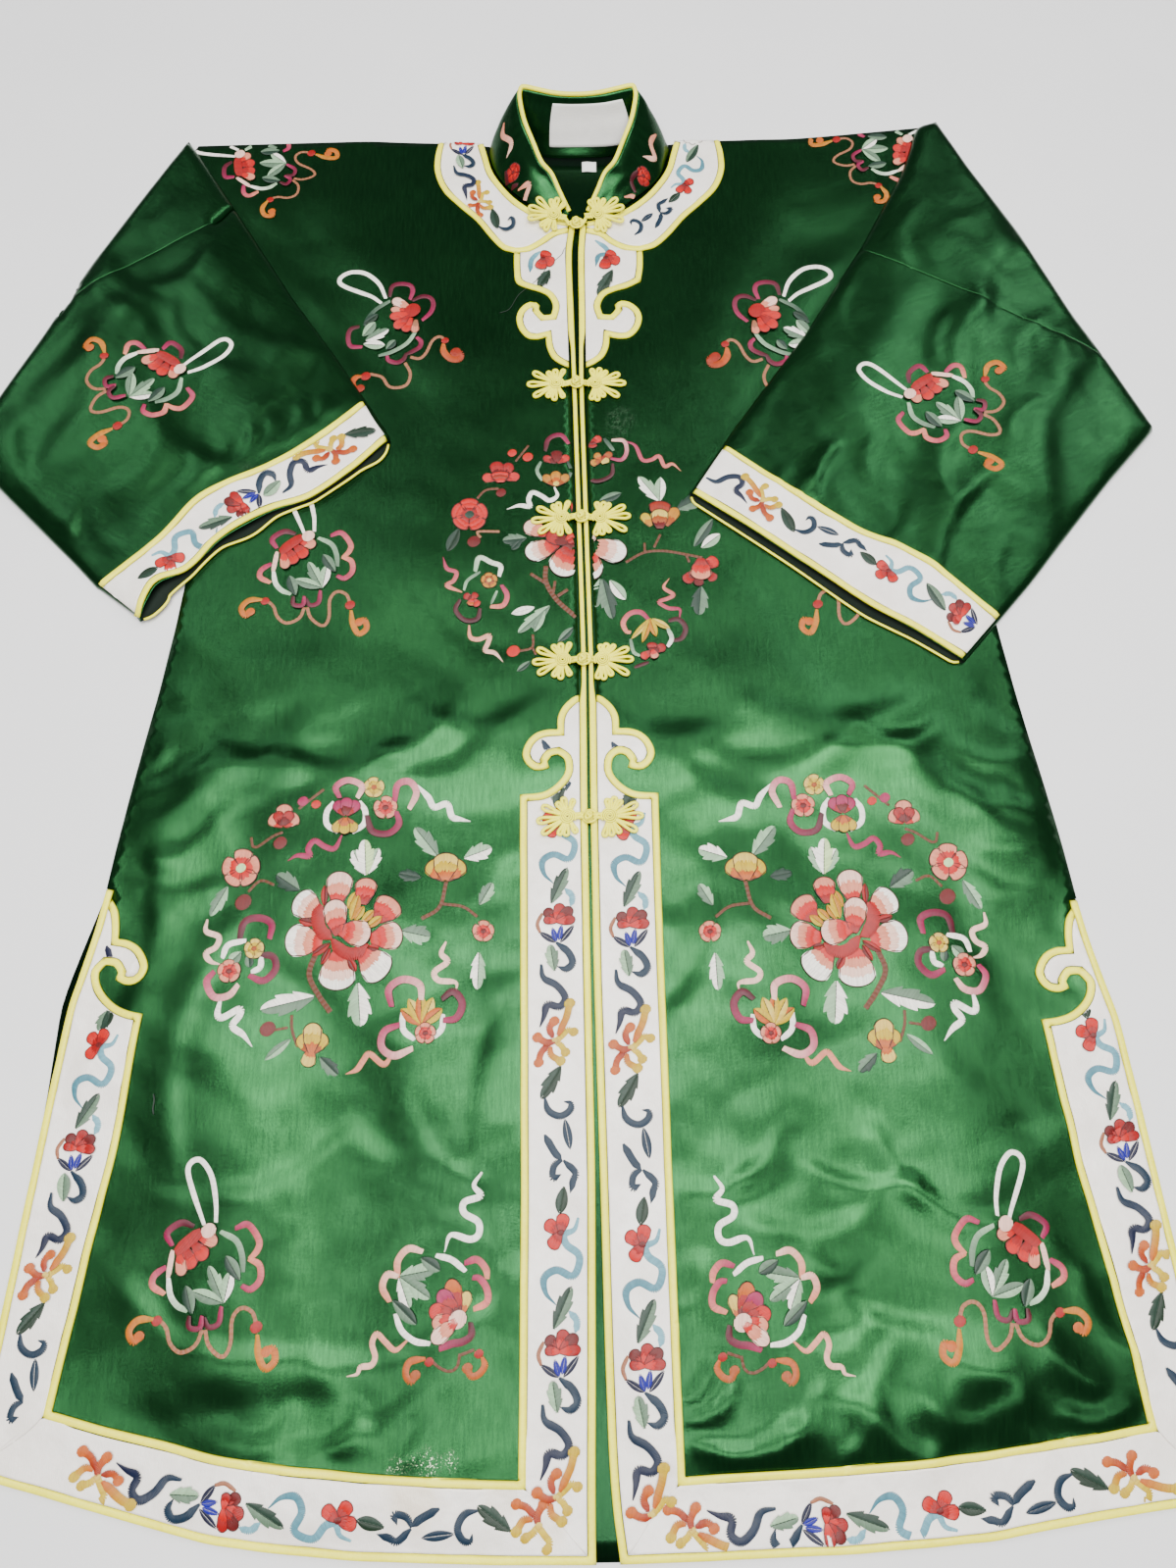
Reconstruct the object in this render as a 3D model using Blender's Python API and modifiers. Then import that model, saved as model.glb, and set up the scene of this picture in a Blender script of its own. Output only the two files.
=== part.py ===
"""Knee-length silk robe, laid flat on its back with both sleeves folded in.

The satin panels are thin walls that lie on each other: the back rests on the
table and carries the two fronts, and each sleeve is folded over the front, so
its two hidden layers make one soft-edged pad. White bands, piping, the label
and the frog fastenings are pieces of their own, each lying on its panel.

All sizes below are in millimetres. x runs out from the front opening, y runs
up from the hem to the collar with 0 at the middle of the back neck, and z is
the height over the table.
"""
import math

import bmesh
import bpy
from mathutils import Matrix, Vector
from mathutils.geometry import delaunay_2d_cdt

for leftover in list(bpy.data.objects):
    bpy.data.objects.remove(leftover, do_unlink=True)

MM = 0.001
# Back neck measured from the middle of the laid-out robe.
NECK_X, NECK_Y = 18.5, 537.5

# Walls and the space between two layers.
CLOTH = 1.5
BAND_WALL = 1.2
PIPING_WALL = 2.0
EDGE_PIPING_WALL = 3.0
COLLAR_WALL = 2.0
LABEL_WALL = 1.0
GAP = 0.3
SEAM = 0.15
PIPING_WIDTH = 5.5

# Cutting a panel into triangles: net of points, how near it comes to a line, and in what
# distance two points are one. Outlines have no run longer than these, by how plain they are.
GRID = 40.0
NET_CLEAR = 0.45
MERGE = 1.0
LONG_EDGE, LONG_SIDE, LONG_BACK = 30.0, 45.0, 60.0
# A corner is moved out by at most the inverse of this.
MITRE = 0.3
# A triangle whose middle is this near a line belongs to the piping along it.
ON_PIPING = 0.999 * PIPING_WIDTH

# Heights of the layers.
FRONT_REST = CLOTH + GAP
FRONT_TOP = FRONT_REST + CLOTH
SLEEVE_REST = FRONT_TOP + GAP

# Half of the cut, (x, y), the same for the left and the right.
NECK = [(80, -22), (77, -33), (71.5, -52), (60, -70), (47, -83.5), (28, -96), (0, -104)]
BACK_NECK = [(80, -22), (60, -26), (30, -32), (0, -34)]
SHOULDER = [(180, -19)]
ARMPIT = [(335, -311), (305, -322), (296, -350)]
SIDE = [(299, -422), (304, -465), (311, -512), (320, -565), (327, -605), (332, -635), (336, -663)]
SLIT = [(342, -695), (349, -724), (354, -745), (359, -785), (363, -820), (374, -920), (386, -1029)]
HEM = [(346, -1036), (300, -1045), (270, -1051), (236, -1058), (200, -1062), (150, -1066), (60, -1069),
       (0, -1070)]

# Outer edges of the white trim on each half.
WAIST_CLOUD = [(0, -514), (10.5, -518.5), (17.5, -525.5), (21.5, -534), (21.8, -543), (29.5, -543.3),
               (37.5, -546), (44, -552.5), (47.2, -562), (44.3, -569.5), (38.5, -574), (32, -574),
               (27, -572.3), (28.3, -567.5), (25.8, -564), (21.3, -562.8), (17, -566), (16, -573.5),
               (18.5, -579), (25, -585.5), (33, -589.5), (49, -591)]
SLIT_CLOUD = [(301, -747), (312, -745), (321, -741.5), (329, -735), (333.5, -728), (334.5, -721),
              (330.5, -716), (325, -716.5), (322, -720.5), (323.5, -725.3), (316, -728.5), (308.5, -727.5),
              (303, -722.5), (301, -714.5), (307.5, -703), (316, -698), (323.5, -697), (324, -688),
              (326, -677.5), (331, -670), (340, -660)]
BAND_INNER = [(49, -1023), (150, -1017.5), (190, -1014), (237, -1008.5), (266, -1003), (305, -996.5),
              (337, -990), (331, -952), (322, -895), (312, -840), (307.5, -800), (303.5, -765)]
CHEST_CLOUD = [(52, -125), (51.5, -149), (49.5, -162), (39.5, -167.5), (28.8, -171), (21.3, -175.5),
               (17.7, -184), (19.5, -192), (25, -192.5), (29, -187.5), (28.3, -183), (33.5, -179.7),
               (41, -181.5), (47.8, -188.5), (49.8, -197), (47, -207), (40, -214.5), (31, -215.5),
               (24.5, -213.7), (23.7, -223), (19.5, -233), (12, -239), (0, -244.5)]
YOKE = [(117, -15), (121, -34), (121, -52), (114, -71), (100, -87), (86, -101), (73, -118), (62, -129),
        (50, -133), (37, -131.5), (25, -124.5), (16, -117), (0, -112)]

# Where the front band's mitre ends, and where the side band's begins.
FRONT_BAND_TO, SIDE_BAND_FROM = 90.0, 250.0

# The front opening: (y, middle of the gap, width of the gap).
OPENING = [(-98, -1.5, 3.0), (-129, -4.8, 4.7), (-200, -4.4, 3.4), (-260, -4.0, 1.6), (-377, -2.0, 1.5),
           (-491, 0.0, 1.5), (-609, -0.5, 1.5), (-723, 0.0, 1.5), (-849, 1.4, 2.5), (-964, 1.3, 5.5),
           (-1030, 1.5, 8.5), (-1070, 4.0, 14.0)]
OPENING_REACH = 100.0
# The right side of the skirt lies lower than the left by twice this at the side seam.
SIDE_DROP = 8.0
SIDE_AT = 330.0
# How far the back's left skirt shows past the front at the slit, and where.
PEEK, PEEK_AT, PEEK_LENGTH = 5.0, -735.0, 60.0

# Folded sleeves. Each line runs on from the one before it, round the sleeve.
SLEEVES = {
    "left": dict(
        fold=[(-328, -16), (-367, -86), (-396, -139), (-431, -212), (-453, -255), (-480, -310)],
        underarm=[(-480, -310), (-442, -349), (-364, -427), (-330, -455)],
        mouth=[(-330, -455), (-318, -428), (-296, -417), (-275, -393), (-236, -368), (-207, -357),
               (-179, -336), (-150, -306)],
        inner=[(-150, -306), (-173, -265), (-195, -230), (-232, -175), (-284, -88), (-328, -16)],
        cuff=[(-366, -426), (-321.5, -389), (-292, -354), (-238, -325), (-210, -305.5), (-168, -268)],
        seam=[(-298, -104), (-411, -177)]),
    "right": dict(
        fold=[(302, -6), (326, -58), (360, -124), (393.5, -202), (415.5, -246), (443, -305)],
        underarm=[(443, -305), (401, -351), (366, -393), (332, -434), (275, -496)],
        mouth=[(275, -496), (242, -473), (210, -454), (161, -416), (120, -385), (80, -355)],
        inner=[(80, -355), (118, -297), (177.5, -214), (230, -130), (267, -61), (285, -14), (302, -6)],
        cuff=[(311, -466), (262, -420), (237, -402.5), (207, -388), (165, -358), (106, -313)],
        seam=[(225, -136), (431, -254)]),
}
# Thickness of a folded sleeve at its fold and past SLEEVE_THINS_BY, and how its edges are rounded.
SLEEVE_AT_FOLD, SLEEVE_AT_CUFF, SLEEVE_THINS_BY = 8.4, 5.6, 260.0
SLEEVE_ROUND = 8.0
SLEEVE_EDGE = 0.2
EDGE_ROW = 2.5
# The fold wraps the front's edge down to the table, over this width, and keeps clear of the front.
FOLD_LIP, FOLD_LIP_RISE = 6.0, 2.0
FOLD_CLEAR = 8.8
# Past the front the sleeve sinks to the table over this run.
SLEEVE_SINKS = 30.0
SLEEVE_FOLDS_FADE = 40.0
# The lower layer shows past the mouth, which is open to a depth but for its two ends.
UNDER_LIP = 7.0
MOUTH_DEPTH = 12.0
MOUTH_CLOSED = 5.0
MOUTH_FROM, MOUTH_TO = SLEEVE_REST + 1.5, SLEEVE_REST + 3.7
CUTTER_REACH, CUTTER_TOP = 20.0, 40.0
FOLD_RUNS_ON, EDGE_RUNS_ON, LIP_RUNS_ON = -20.0, -5.0, -25.0
CUFF_FROM_EDGE = 2.0

# Soft folds of the cloth: (x, y) to (x, y), half width, height.
FRONT_FOLDS = [
    (-300, -560, -190, -640, 38, 5.5), (-240, -500, -120, -520, 32, 4.0), (-250, -760, -215, -990, 40, 6.0),
    (-120, -690, -95, -980, 38, 5.5), (-190, -640, -110, -760, 34, 4.0), (-230, -90, -120, -250, 42, 5.0),
    (-140, -300, -130, -420, 36, 3.0), (300, -600, 180, -560, 38, 5.0), (250, -520, 130, -500, 32, 4.0),
    (210, -700, 260, -960, 40, 6.0), (110, -660, 90, -930, 38, 5.5), (130, -990, 280, -960, 26, 4.5),
    (200, -90, 140, -220, 40, 5.0), (120, -320, 130, -400, 34, 3.0),
]
SLEEVE_FOLDS = [
    (-300, -120, -260, -300, 26, 2.6), (-400, -250, -300, -370, 30, 2.4), (-390, -170, -340, -300, 24, 2.0),
    (300, -110, 200, -300, 28, 2.6), (390, -240, 270, -400, 30, 2.4), (340, -150, 300, -280, 24, 2.0),
]
FOLD_FADE = 42.0
SLEEVE_SHADOW = 46.0

# Standing collar, right half: base (x, y), top edge (x, y, z).
COLLAR = [(0, -37, 0, -11, 44), (22, -36.2, 16, -10.5, 45), (45, -32.5, 31, -8, 46.5),
          (62, -29, 40, -6, 47), (71, -27.5, 43.5, -6.5, 46.5), (74.5, -31, 45, -11, 44),
          (74, -38, 44, -19, 41), (71, -48, 41, -31, 37), (65.5, -58.5, 34.5, -45, 30.5),
          (57.5, -68, 27.5, -60, 24.5), (47, -77.5, 19.5, -66, 18), (34, -87.5, 13.5, -78, 12.5),
          (19.5, -94.5, 8.5, -88.5, 8.5), (8, -98.5, 6, -94, 6.5)]
COLLAR_BASE = 2.8
# The wall bulges away from the neck's middle, less where it is lower than COLLAR_FULL.
COLLAR_BOW, COLLAR_FULL, NECK_MIDDLE = 3.0, 40.0, -60.0
COLLAR_ROWS = 3
BOW_UP = 0.4
# Step, in stations and in shares of the height, over which the surface's slope is read.
NEAR = 0.03
# Shares of the collar's height that the satin and the piping take.
COLLAR_TOP, PIPING_FROM = 0.88, 0.94
# The label, in steps of the collar's table from the middle back and in shares of its height.
LABEL_STATIONS = range(-1, 3)
LABEL_RISES = (0.15, 0.3, 0.6, 0.8)
LABEL_GAP = 0.5
TAB_X, TAB_Y, TAB_WIDTH, TAB_LENGTH = 8.0, -46.0, 12.0, 9.0

# Frog fastenings: (x, y) of each knot.
KNOTS = [(-3.8, -107.7), (-4.1, -260.4), (-3.3, -375.0), (0.5, -491.2), (-0.9, -608.6)]
KNOT_PROFILE = [(-8.6, 1.5), (-5.2, 1.6), (-4.1, 3.0), (-2.2, 4.2), (0, 4.6), (2.2, 4.2), (4.1, 3.0),
                (5.2, 1.6), (8.6, 1.5)]
KNOT_SQUASH = 0.8
# The top frog lies on the collar's sloping front: height of its middle, slope, and step up the robe.
NECK_FROG_LIFT, NECK_FROG_TILT, NECK_FROG_RISE = 8.6, math.radians(10.0), 7.0
FLOWER_AT = 24.0
PETALS = 11
PETAL_TIP, PETAL_ROOT = 15.0, 12.2
FLOWER_WALL, COIL_RADIUS, COIL_RISE = 2.4, 6.5, 1.6

robe = bpy.data.collections.new("silk_robe")
cutters = bpy.data.collections.new("silk_robe_cutters")
for group in (robe, cutters):
    bpy.context.scene.collection.children.link(group)


def material(name, colour, roughness):
    made = bpy.data.materials.new(name)
    made.use_nodes = True
    shader = made.node_tree.nodes["Principled BSDF"]
    shader.inputs["Base Color"].default_value = (*colour, 1.0)
    shader.inputs["Roughness"].default_value = roughness
    shader.inputs["Metallic"].default_value = 0.0
    return made


SATIN = material("green_satin", (0.018, 0.135, 0.045), 0.34)
WHITE = material("white_satin", (0.72, 0.70, 0.66), 0.42)
YELLOW = material("yellow_piping", (0.80, 0.76, 0.26), 0.5)
WOVEN = material("woven_label", (0.78, 0.76, 0.74), 0.7)


def smooth(t):
    t = min(max(t, 0.0), 1.0)
    return t * t * (3.0 - 2.0 * t)


def place(x, y, z):
    """A point of the robe in metres, from the middle of the laid-out robe."""
    return Vector(((x + NECK_X) * MM, (y + NECK_Y) * MM, z * MM))


def opening(y):
    """Middle and width of the front opening at a height on the robe."""
    rows = OPENING
    if y >= rows[0][0]:
        return rows[0][1], rows[0][2]
    for (y0, c0, w0), (y1, c1, w1) in zip(rows, rows[1:]):
        if y >= y1:
            t = (y0 - y) / (y0 - y1)
            return c0 + (c1 - c0) * t, w0 + (w1 - w0) * t
    return rows[-1][1], rows[-1][2]


def lay(side, point):
    """A point of the cut, where it lies on the table; side is -1 or 1."""
    x, y = point
    middle, width = opening(y)
    near = 1.0 - smooth(x / OPENING_REACH)
    return (side * x + near * (middle + side * width / 2), y - side * SIDE_DROP * (x / SIDE_AT) ** 3)


def split(points, step=LONG_EDGE):
    """The same line with points added so that no run is longer than step."""
    out = [points[0]]
    for (x0, y0), (x1, y1) in zip(points, points[1:]):
        count = max(1, math.ceil(math.hypot(x1 - x0, y1 - y0) / step))
        out += [(x0 + (x1 - x0) * i / count, y0 + (y1 - y0) * i / count) for i in range(1, count + 1)]
    return out


def nearest(point, line):
    """Distance from a point to a line of points."""
    x, y = point
    best = math.inf
    for (x0, y0), (x1, y1) in zip(line, line[1:]):
        dx, dy = x1 - x0, y1 - y0
        span = dx * dx + dy * dy
        t = min(max(((x - x0) * dx + (y - y0) * dy) / span, 0.0), 1.0) if span else 0.0
        best = min(best, math.hypot(x - x0 - t * dx, y - y0 - t * dy))
    return best


def inside(point, polygon):
    x, y = point
    odd = False
    for (x0, y0), (x1, y1) in zip(polygon, polygon[1:] + polygon[:1]):
        if (y0 > y) != (y1 > y) and x < x0 + (x1 - x0) * (y - y0) / (y1 - y0):
            odd = not odd
    return odd


def offset(line, distance):
    """The line moved sideways, to its left for a positive distance."""
    out = []
    for i, (x, y) in enumerate(line):
        ax, ay = line[max(i - 1, 0)]
        bx, by = line[min(i + 1, len(line) - 1)]
        normals = []
        for (px, py), (qx, qy) in (((ax, ay), (x, y)), ((x, y), (bx, by))):
            length = math.hypot(qx - px, qy - py)
            if length > 0:
                normals.append((-(qy - py) / length, (qx - px) / length))
        nx, ny = (sum(n[k] for n in normals) / len(normals) for k in (0, 1))
        size = max(nx * nx + ny * ny, MITRE)
        out.append((x + distance * nx / size, y + distance * ny / size))
    return out


def right_of(line, point):
    """How far a point lies to the right of a line through two points, times their distance."""
    (ax, ay), (bx, by) = line
    return (by - ay) * (point[0] - ax) - (bx - ax) * (point[1] - ay)


def fold_height(x, y, folds):
    """Height that the soft folds add at a point."""
    total = 0.0
    for x0, y0, x1, y1, half_width, height in folds:
        away = nearest((x, y), [(x0, y0), (x1, y1)])
        total += height * math.exp(-(away / half_width) ** 2)
    return total


class Sheet:
    """One panel cut into triangles, with the outlines of what lies on it kept as edges."""

    def __init__(self, outline, lines, height, grid=GRID):
        self.outline = outline
        points, edges = [], []
        for line in [outline + outline[:1]] + lines:
            first = len(points)
            points += [Vector(p) for p in line]
            edges += [(i, i + 1) for i in range(first, len(points) - 1)]
        if grid:
            points += [Vector(p) for p in self.filling([outline + outline[:1]] + lines, grid)]
        points, _, faces, _, _, _ = delaunay_2d_cdt(points, edges, [], 0, MERGE)
        self.flat = [(p.x, p.y) for p in points]
        self.faces = []
        for face in faces:
            centre = [sum(self.flat[i][k] for i in face) / 3 for k in (0, 1)]
            if inside(centre, outline):
                self.faces.append(tuple(face))
        self.solid = [Vector((x, y, height(x, y))) for x, y in self.flat]
        self.normals = [Vector() for _ in self.flat]
        for a, b, c in self.faces:
            normal = (self.solid[b] - self.solid[a]).cross(self.solid[c] - self.solid[a])
            for i in (a, b, c):
                self.normals[i] += normal
        for normal in self.normals:
            normal.normalize()

    def filling(self, lines, grid):
        """Points of an even net that keep clear of every line."""
        xs = [p[0] for p in self.outline]
        ys = [p[1] for p in self.outline]
        row, y = 0, min(ys)
        while y < max(ys):
            x = min(xs) + (grid / 2 if row % 2 else 0.0)
            while x < max(xs):
                clear = all(nearest((x, y), line) > NET_CLEAR * grid for line in lines)
                if clear and inside((x, y), self.outline):
                    yield x, y
                x += grid
            y += grid * math.sqrt(3) / 2
            row += 1

    def chosen(self, keep):
        """Triangles whose middle the rule keeps."""
        out = []
        for face in self.faces:
            middle = tuple(sum(self.flat[i][k] for i in face) / 3 for k in (0, 1))
            if keep(middle):
                out.append(face)
        return out

    def seam_moves(self, faces):
        """Sideways step of each rim point, so that neighbours stay a seam apart."""
        used = [edge for a, b, c in faces for edge in ((a, b), (b, c), (c, a))]
        directed = set(used)
        moves = {}
        for a, b in used:
            if (b, a) in directed:
                continue
            ax, ay = self.flat[a]
            bx, by = self.flat[b]
            length = math.hypot(bx - ax, by - ay)
            inward = ((ay - by) / length, (bx - ax) / length)
            for i in (a, b):
                moves.setdefault(i, []).append(inward)
        out = {}
        for i, inwards in moves.items():
            nx, ny = (sum(n[k] for n in inwards) / len(inwards) for k in (0, 1))
            size = max(nx * nx + ny * ny, MITRE)
            out[i] = Vector((SEAM * nx / size, SEAM * ny / size, 0.0))
        for face in faces:
            a, b, c = (Vector(self.flat[i]) + out.get(i, Vector()).to_2d() for i in face)
            if (b - a).cross(c - a) < SEAM * SEAM:
                for i in face:
                    out.pop(i, None)
        return out

    def piece(self, name, look, keep, level, wall):
        """A wall of cloth that lies on this panel, at a distance over its points."""
        faces = self.chosen(keep)
        moves = self.seam_moves(faces)
        used = sorted({i for face in faces for i in face})
        number = {i: n for n, i in enumerate(used)}
        verts = [place(*(self.solid[i] + self.normals[i] * level + moves.get(i, Vector()))) for i in used]
        mesh = bpy.data.meshes.new(name)
        mesh.from_pydata(verts, [], [tuple(number[i] for i in face) for face in faces])
        made = show(name, mesh, look)
        shell = made.modifiers.new("cloth", "SOLIDIFY")
        shell.thickness = wall * MM
        shell.offset = 1.0
        return made

    def pad(self, name, look, keep, under):
        """A closed soft solid between this surface and the surface under it."""
        faces = self.chosen(keep)
        moves = self.seam_moves(faces)
        used = sorted({i for face in faces for i in face})
        number = {i: n for n, i in enumerate(used)}
        count = len(used)
        tops, floors = [], []
        for i in used:
            x, y, z = self.solid[i] + moves.get(i, Vector())
            tops.append(place(x, y, z))
            floors.append(place(x, y, under(x, y)))
        top = [tuple(number[i] for i in face) for face in faces]
        floor = [tuple(count + i for i in reversed(face)) for face in top]
        rim = []
        directed = {(a, b) for face in top for a, b in zip(face, face[1:] + face[:1])}
        for a, b in directed:
            if (b, a) not in directed:
                rim.append((b, a, count + a, count + b))
        mesh = bpy.data.meshes.new(name)
        mesh.from_pydata(tops + floors, [], top + floor + sorted(rim))
        return show(name, mesh, look)


def show(name, mesh, look, group=robe):
    """Puts a mesh in the robe's collection with its material."""
    mesh.materials.append(look)
    made = bpy.data.objects.new(name, mesh)
    group.objects.link(made)
    return made


def front_outline(side, word):
    """Rim of one front as it lies: opening, hem, slit, side, arm fold, shoulder, neck."""
    top, bottom = NECK[-1][1], HEM[-1][1]
    edge = split([(0, top), (0, bottom)])
    fold = offset(SLEEVES[word]["fold"], side * -FOLD_CLEAR)
    out = [lay(side, p) for p in split(edge + HEM[-2::-1] + SLIT[::-1])]
    out += [lay(side, p) for p in split(SIDE[::-1] + ARMPIT[::-1])]
    out += split(fold[::-1], LONG_SIDE)
    out += [lay(side, p) for p in split(SHOULDER + NECK[:-1], LONG_SIDE)]
    return out


def trim_lines(side):
    """Outlines that lie on one front, each as a line on the table."""
    band = WAIST_CLOUD + BAND_INNER + SLIT_CLOUD
    rim = [(0, y) for _, y in NECK[-1:]] + HEM[::-1] + SLIT[::-1] + SIDE[-1:]
    lines = dict(
        band=[lay(side, p) for p in split(band)],
        rim=[lay(side, p) for p in split(rim)],
        chest=[lay(side, p) for p in CHEST_CLOUD],
        yoke=[lay(side, p) for p in YOKE],
        neck=[lay(side, p) for p in NECK])
    return lines


# Back panel: flat on the table, from one arm fold across to the other.
back_rim = []
for side, word in ((1, "right"), (-1, "left")):
    half = [lay(side, p) for p in split(BACK_NECK[:-1][::-1] + SHOULDER, LONG_BACK)]
    half += offset(SLEEVES[word]["fold"], side * -FOLD_CLEAR)
    half += [lay(side, p) for p in split(ARMPIT + SIDE, LONG_BACK)]
    for x, y in split(SLIT):
        show_past = PEEK * math.exp(-((y - PEEK_AT) / PEEK_LENGTH) ** 2) if side < 0 else 0.0
        half.append(lay(side, (x + show_past, y)))
    half += [lay(side, p) for p in split(HEM[:-1])]
    back_rim += half if side > 0 else half[::-1]
back_rim.append((0, BACK_NECK[-1][1]))
back = Sheet(back_rim, [], lambda x, y: 0.0, grid=None)
back.piece("back_panel", SATIN, lambda p: True, 0.0, CLOTH)


def sleeve_rim(word):
    lines = SLEEVES[word]
    rim = []
    for part in ("fold", "underarm", "mouth", "inner"):
        rim += lines[part][:-1]
    return rim


def fronts():
    """Both front panels with the yoke, clouds, bands and piping that lie on them."""
    shadows = [sleeve_rim(word) for word in SLEEVES]
    for side, word in ((-1, "left"), (1, "right")):
        outline = front_outline(side, word)
        if side < 0:
            outline = outline[::-1]
        lines = trim_lines(side)
        closed = outline + outline[:1]

        def height(x, y):
            fade = smooth(nearest((x, y), closed) / FOLD_FADE)
            for shadow in shadows:
                if inside((x, y), shadow):
                    return FRONT_REST
                fade *= smooth((nearest((x, y), shadow + shadow[:1]) - SLEEVE_SHADOW) / FOLD_FADE)
            return FRONT_REST + fade * fold_height(x, y, FRONT_FOLDS)

        corner = lay(side, BAND_INNER[0]), lay(side, HEM[-1])
        side_corner = lay(side, BAND_INNER[6]), lay(side, SLIT[-1])
        inner = {key: offset(line, PIPING_WIDTH * turn * side) for key, line, turn in (
            ("band", lines["band"], -1), ("rim", lines["rim"], 1), ("chest", lines["chest"], -1),
            ("yoke", lines["yoke"], -1), ("neck", lines["neck"], 1))}
        sheet = Sheet(outline, [lines["band"], lines["chest"], lines["yoke"], *inner.values(),
                                list(corner), list(side_corner)], height)

        band_area = lines["band"] + lines["rim"][::-1][:-1] + [lay(side, WAIST_CLOUD[0])]
        chest_area = lines["chest"] + [lay(side, YOKE[-1])]
        yoke_area = lines["yoke"] + lines["neck"][::-1]

        def which(p):
            """The piece that covers a point of the front, or nothing where the satin is bare."""
            def along(key):
                return nearest(p, lines[key]) < ON_PIPING

            if along("rim"):
                return "piping_edge"
            if inside(p, yoke_area):
                return "piping_neck" if along("neck") else "piping_yoke" if along("yoke") else "yoke"
            if inside(p, chest_area):
                return "piping_chest" if along("chest") else "chest_cloud"
            if not inside(p, band_area):
                return None
            if along("band"):
                return "piping_band"
            if side * right_of(corner, p) > 0 and abs(p[0]) < FRONT_BAND_TO:
                return "front_band"
            if side * right_of(side_corner, p) < 0 and abs(p[0]) > SIDE_BAND_FROM:
                return "side_band"
            return "hem_band"

        over = CLOTH + GAP
        sheet.piece(f"front_{word}", SATIN, lambda p: which(p) != "piping_edge", 0.0, CLOTH)
        sheet.piece(f"piping_edge_{word}", YELLOW, lambda p: which(p) == "piping_edge", 0.0,
                    EDGE_PIPING_WALL)
        for piece in ("front_band", "side_band", "hem_band", "chest_cloud", "yoke"):
            sheet.piece(f"{piece}_{word}", WHITE, lambda p: which(p) == piece, over, BAND_WALL)
        for piece in ("piping_band", "piping_chest", "piping_yoke", "piping_neck"):
            sheet.piece(f"{piece}_{word}", YELLOW, lambda p: which(p) == piece, over, PIPING_WALL)


fronts()


def strip(name, line, near, far, low, high):
    """A cutter with a level top and bottom that follows a line, from near to far beside it."""
    ring = offset(line, near) + offset(line, far)[::-1]
    bm = bmesh.new()
    floor = [bm.verts.new(place(x, y, low)) for x, y in ring]
    face = bm.faces.new(floor)
    lifted = bmesh.ops.extrude_face_region(bm, geom=[face])["geom"]
    bmesh.ops.translate(bm, verts=[v for v in lifted if isinstance(v, bmesh.types.BMVert)],
                        vec=(0, 0, (high - low) * MM))
    bmesh.ops.recalc_face_normals(bm, faces=bm.faces)
    mesh = bpy.data.meshes.new(name)
    bm.to_mesh(mesh)
    bm.free()
    cutter = show(name, mesh, SATIN, cutters)
    cutter.hide_render = True
    cutter.display_type = "WIRE"
    return cutter


def trimmed(line, length):
    """The line with both ends cut back, or run on for a negative length."""
    (x0, y0), (x1, y1) = line[0], line[1]
    (x3, y3), (x2, y2) = line[-1], line[-2]
    s, t = length / math.hypot(x1 - x0, y1 - y0), length / math.hypot(x2 - x3, y2 - y3)
    return [(x0 + (x1 - x0) * s, y0 + (y1 - y0) * s), *line[1:-1], (x3 + (x2 - x3) * t, y3 + (y2 - y3) * t)]


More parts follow.
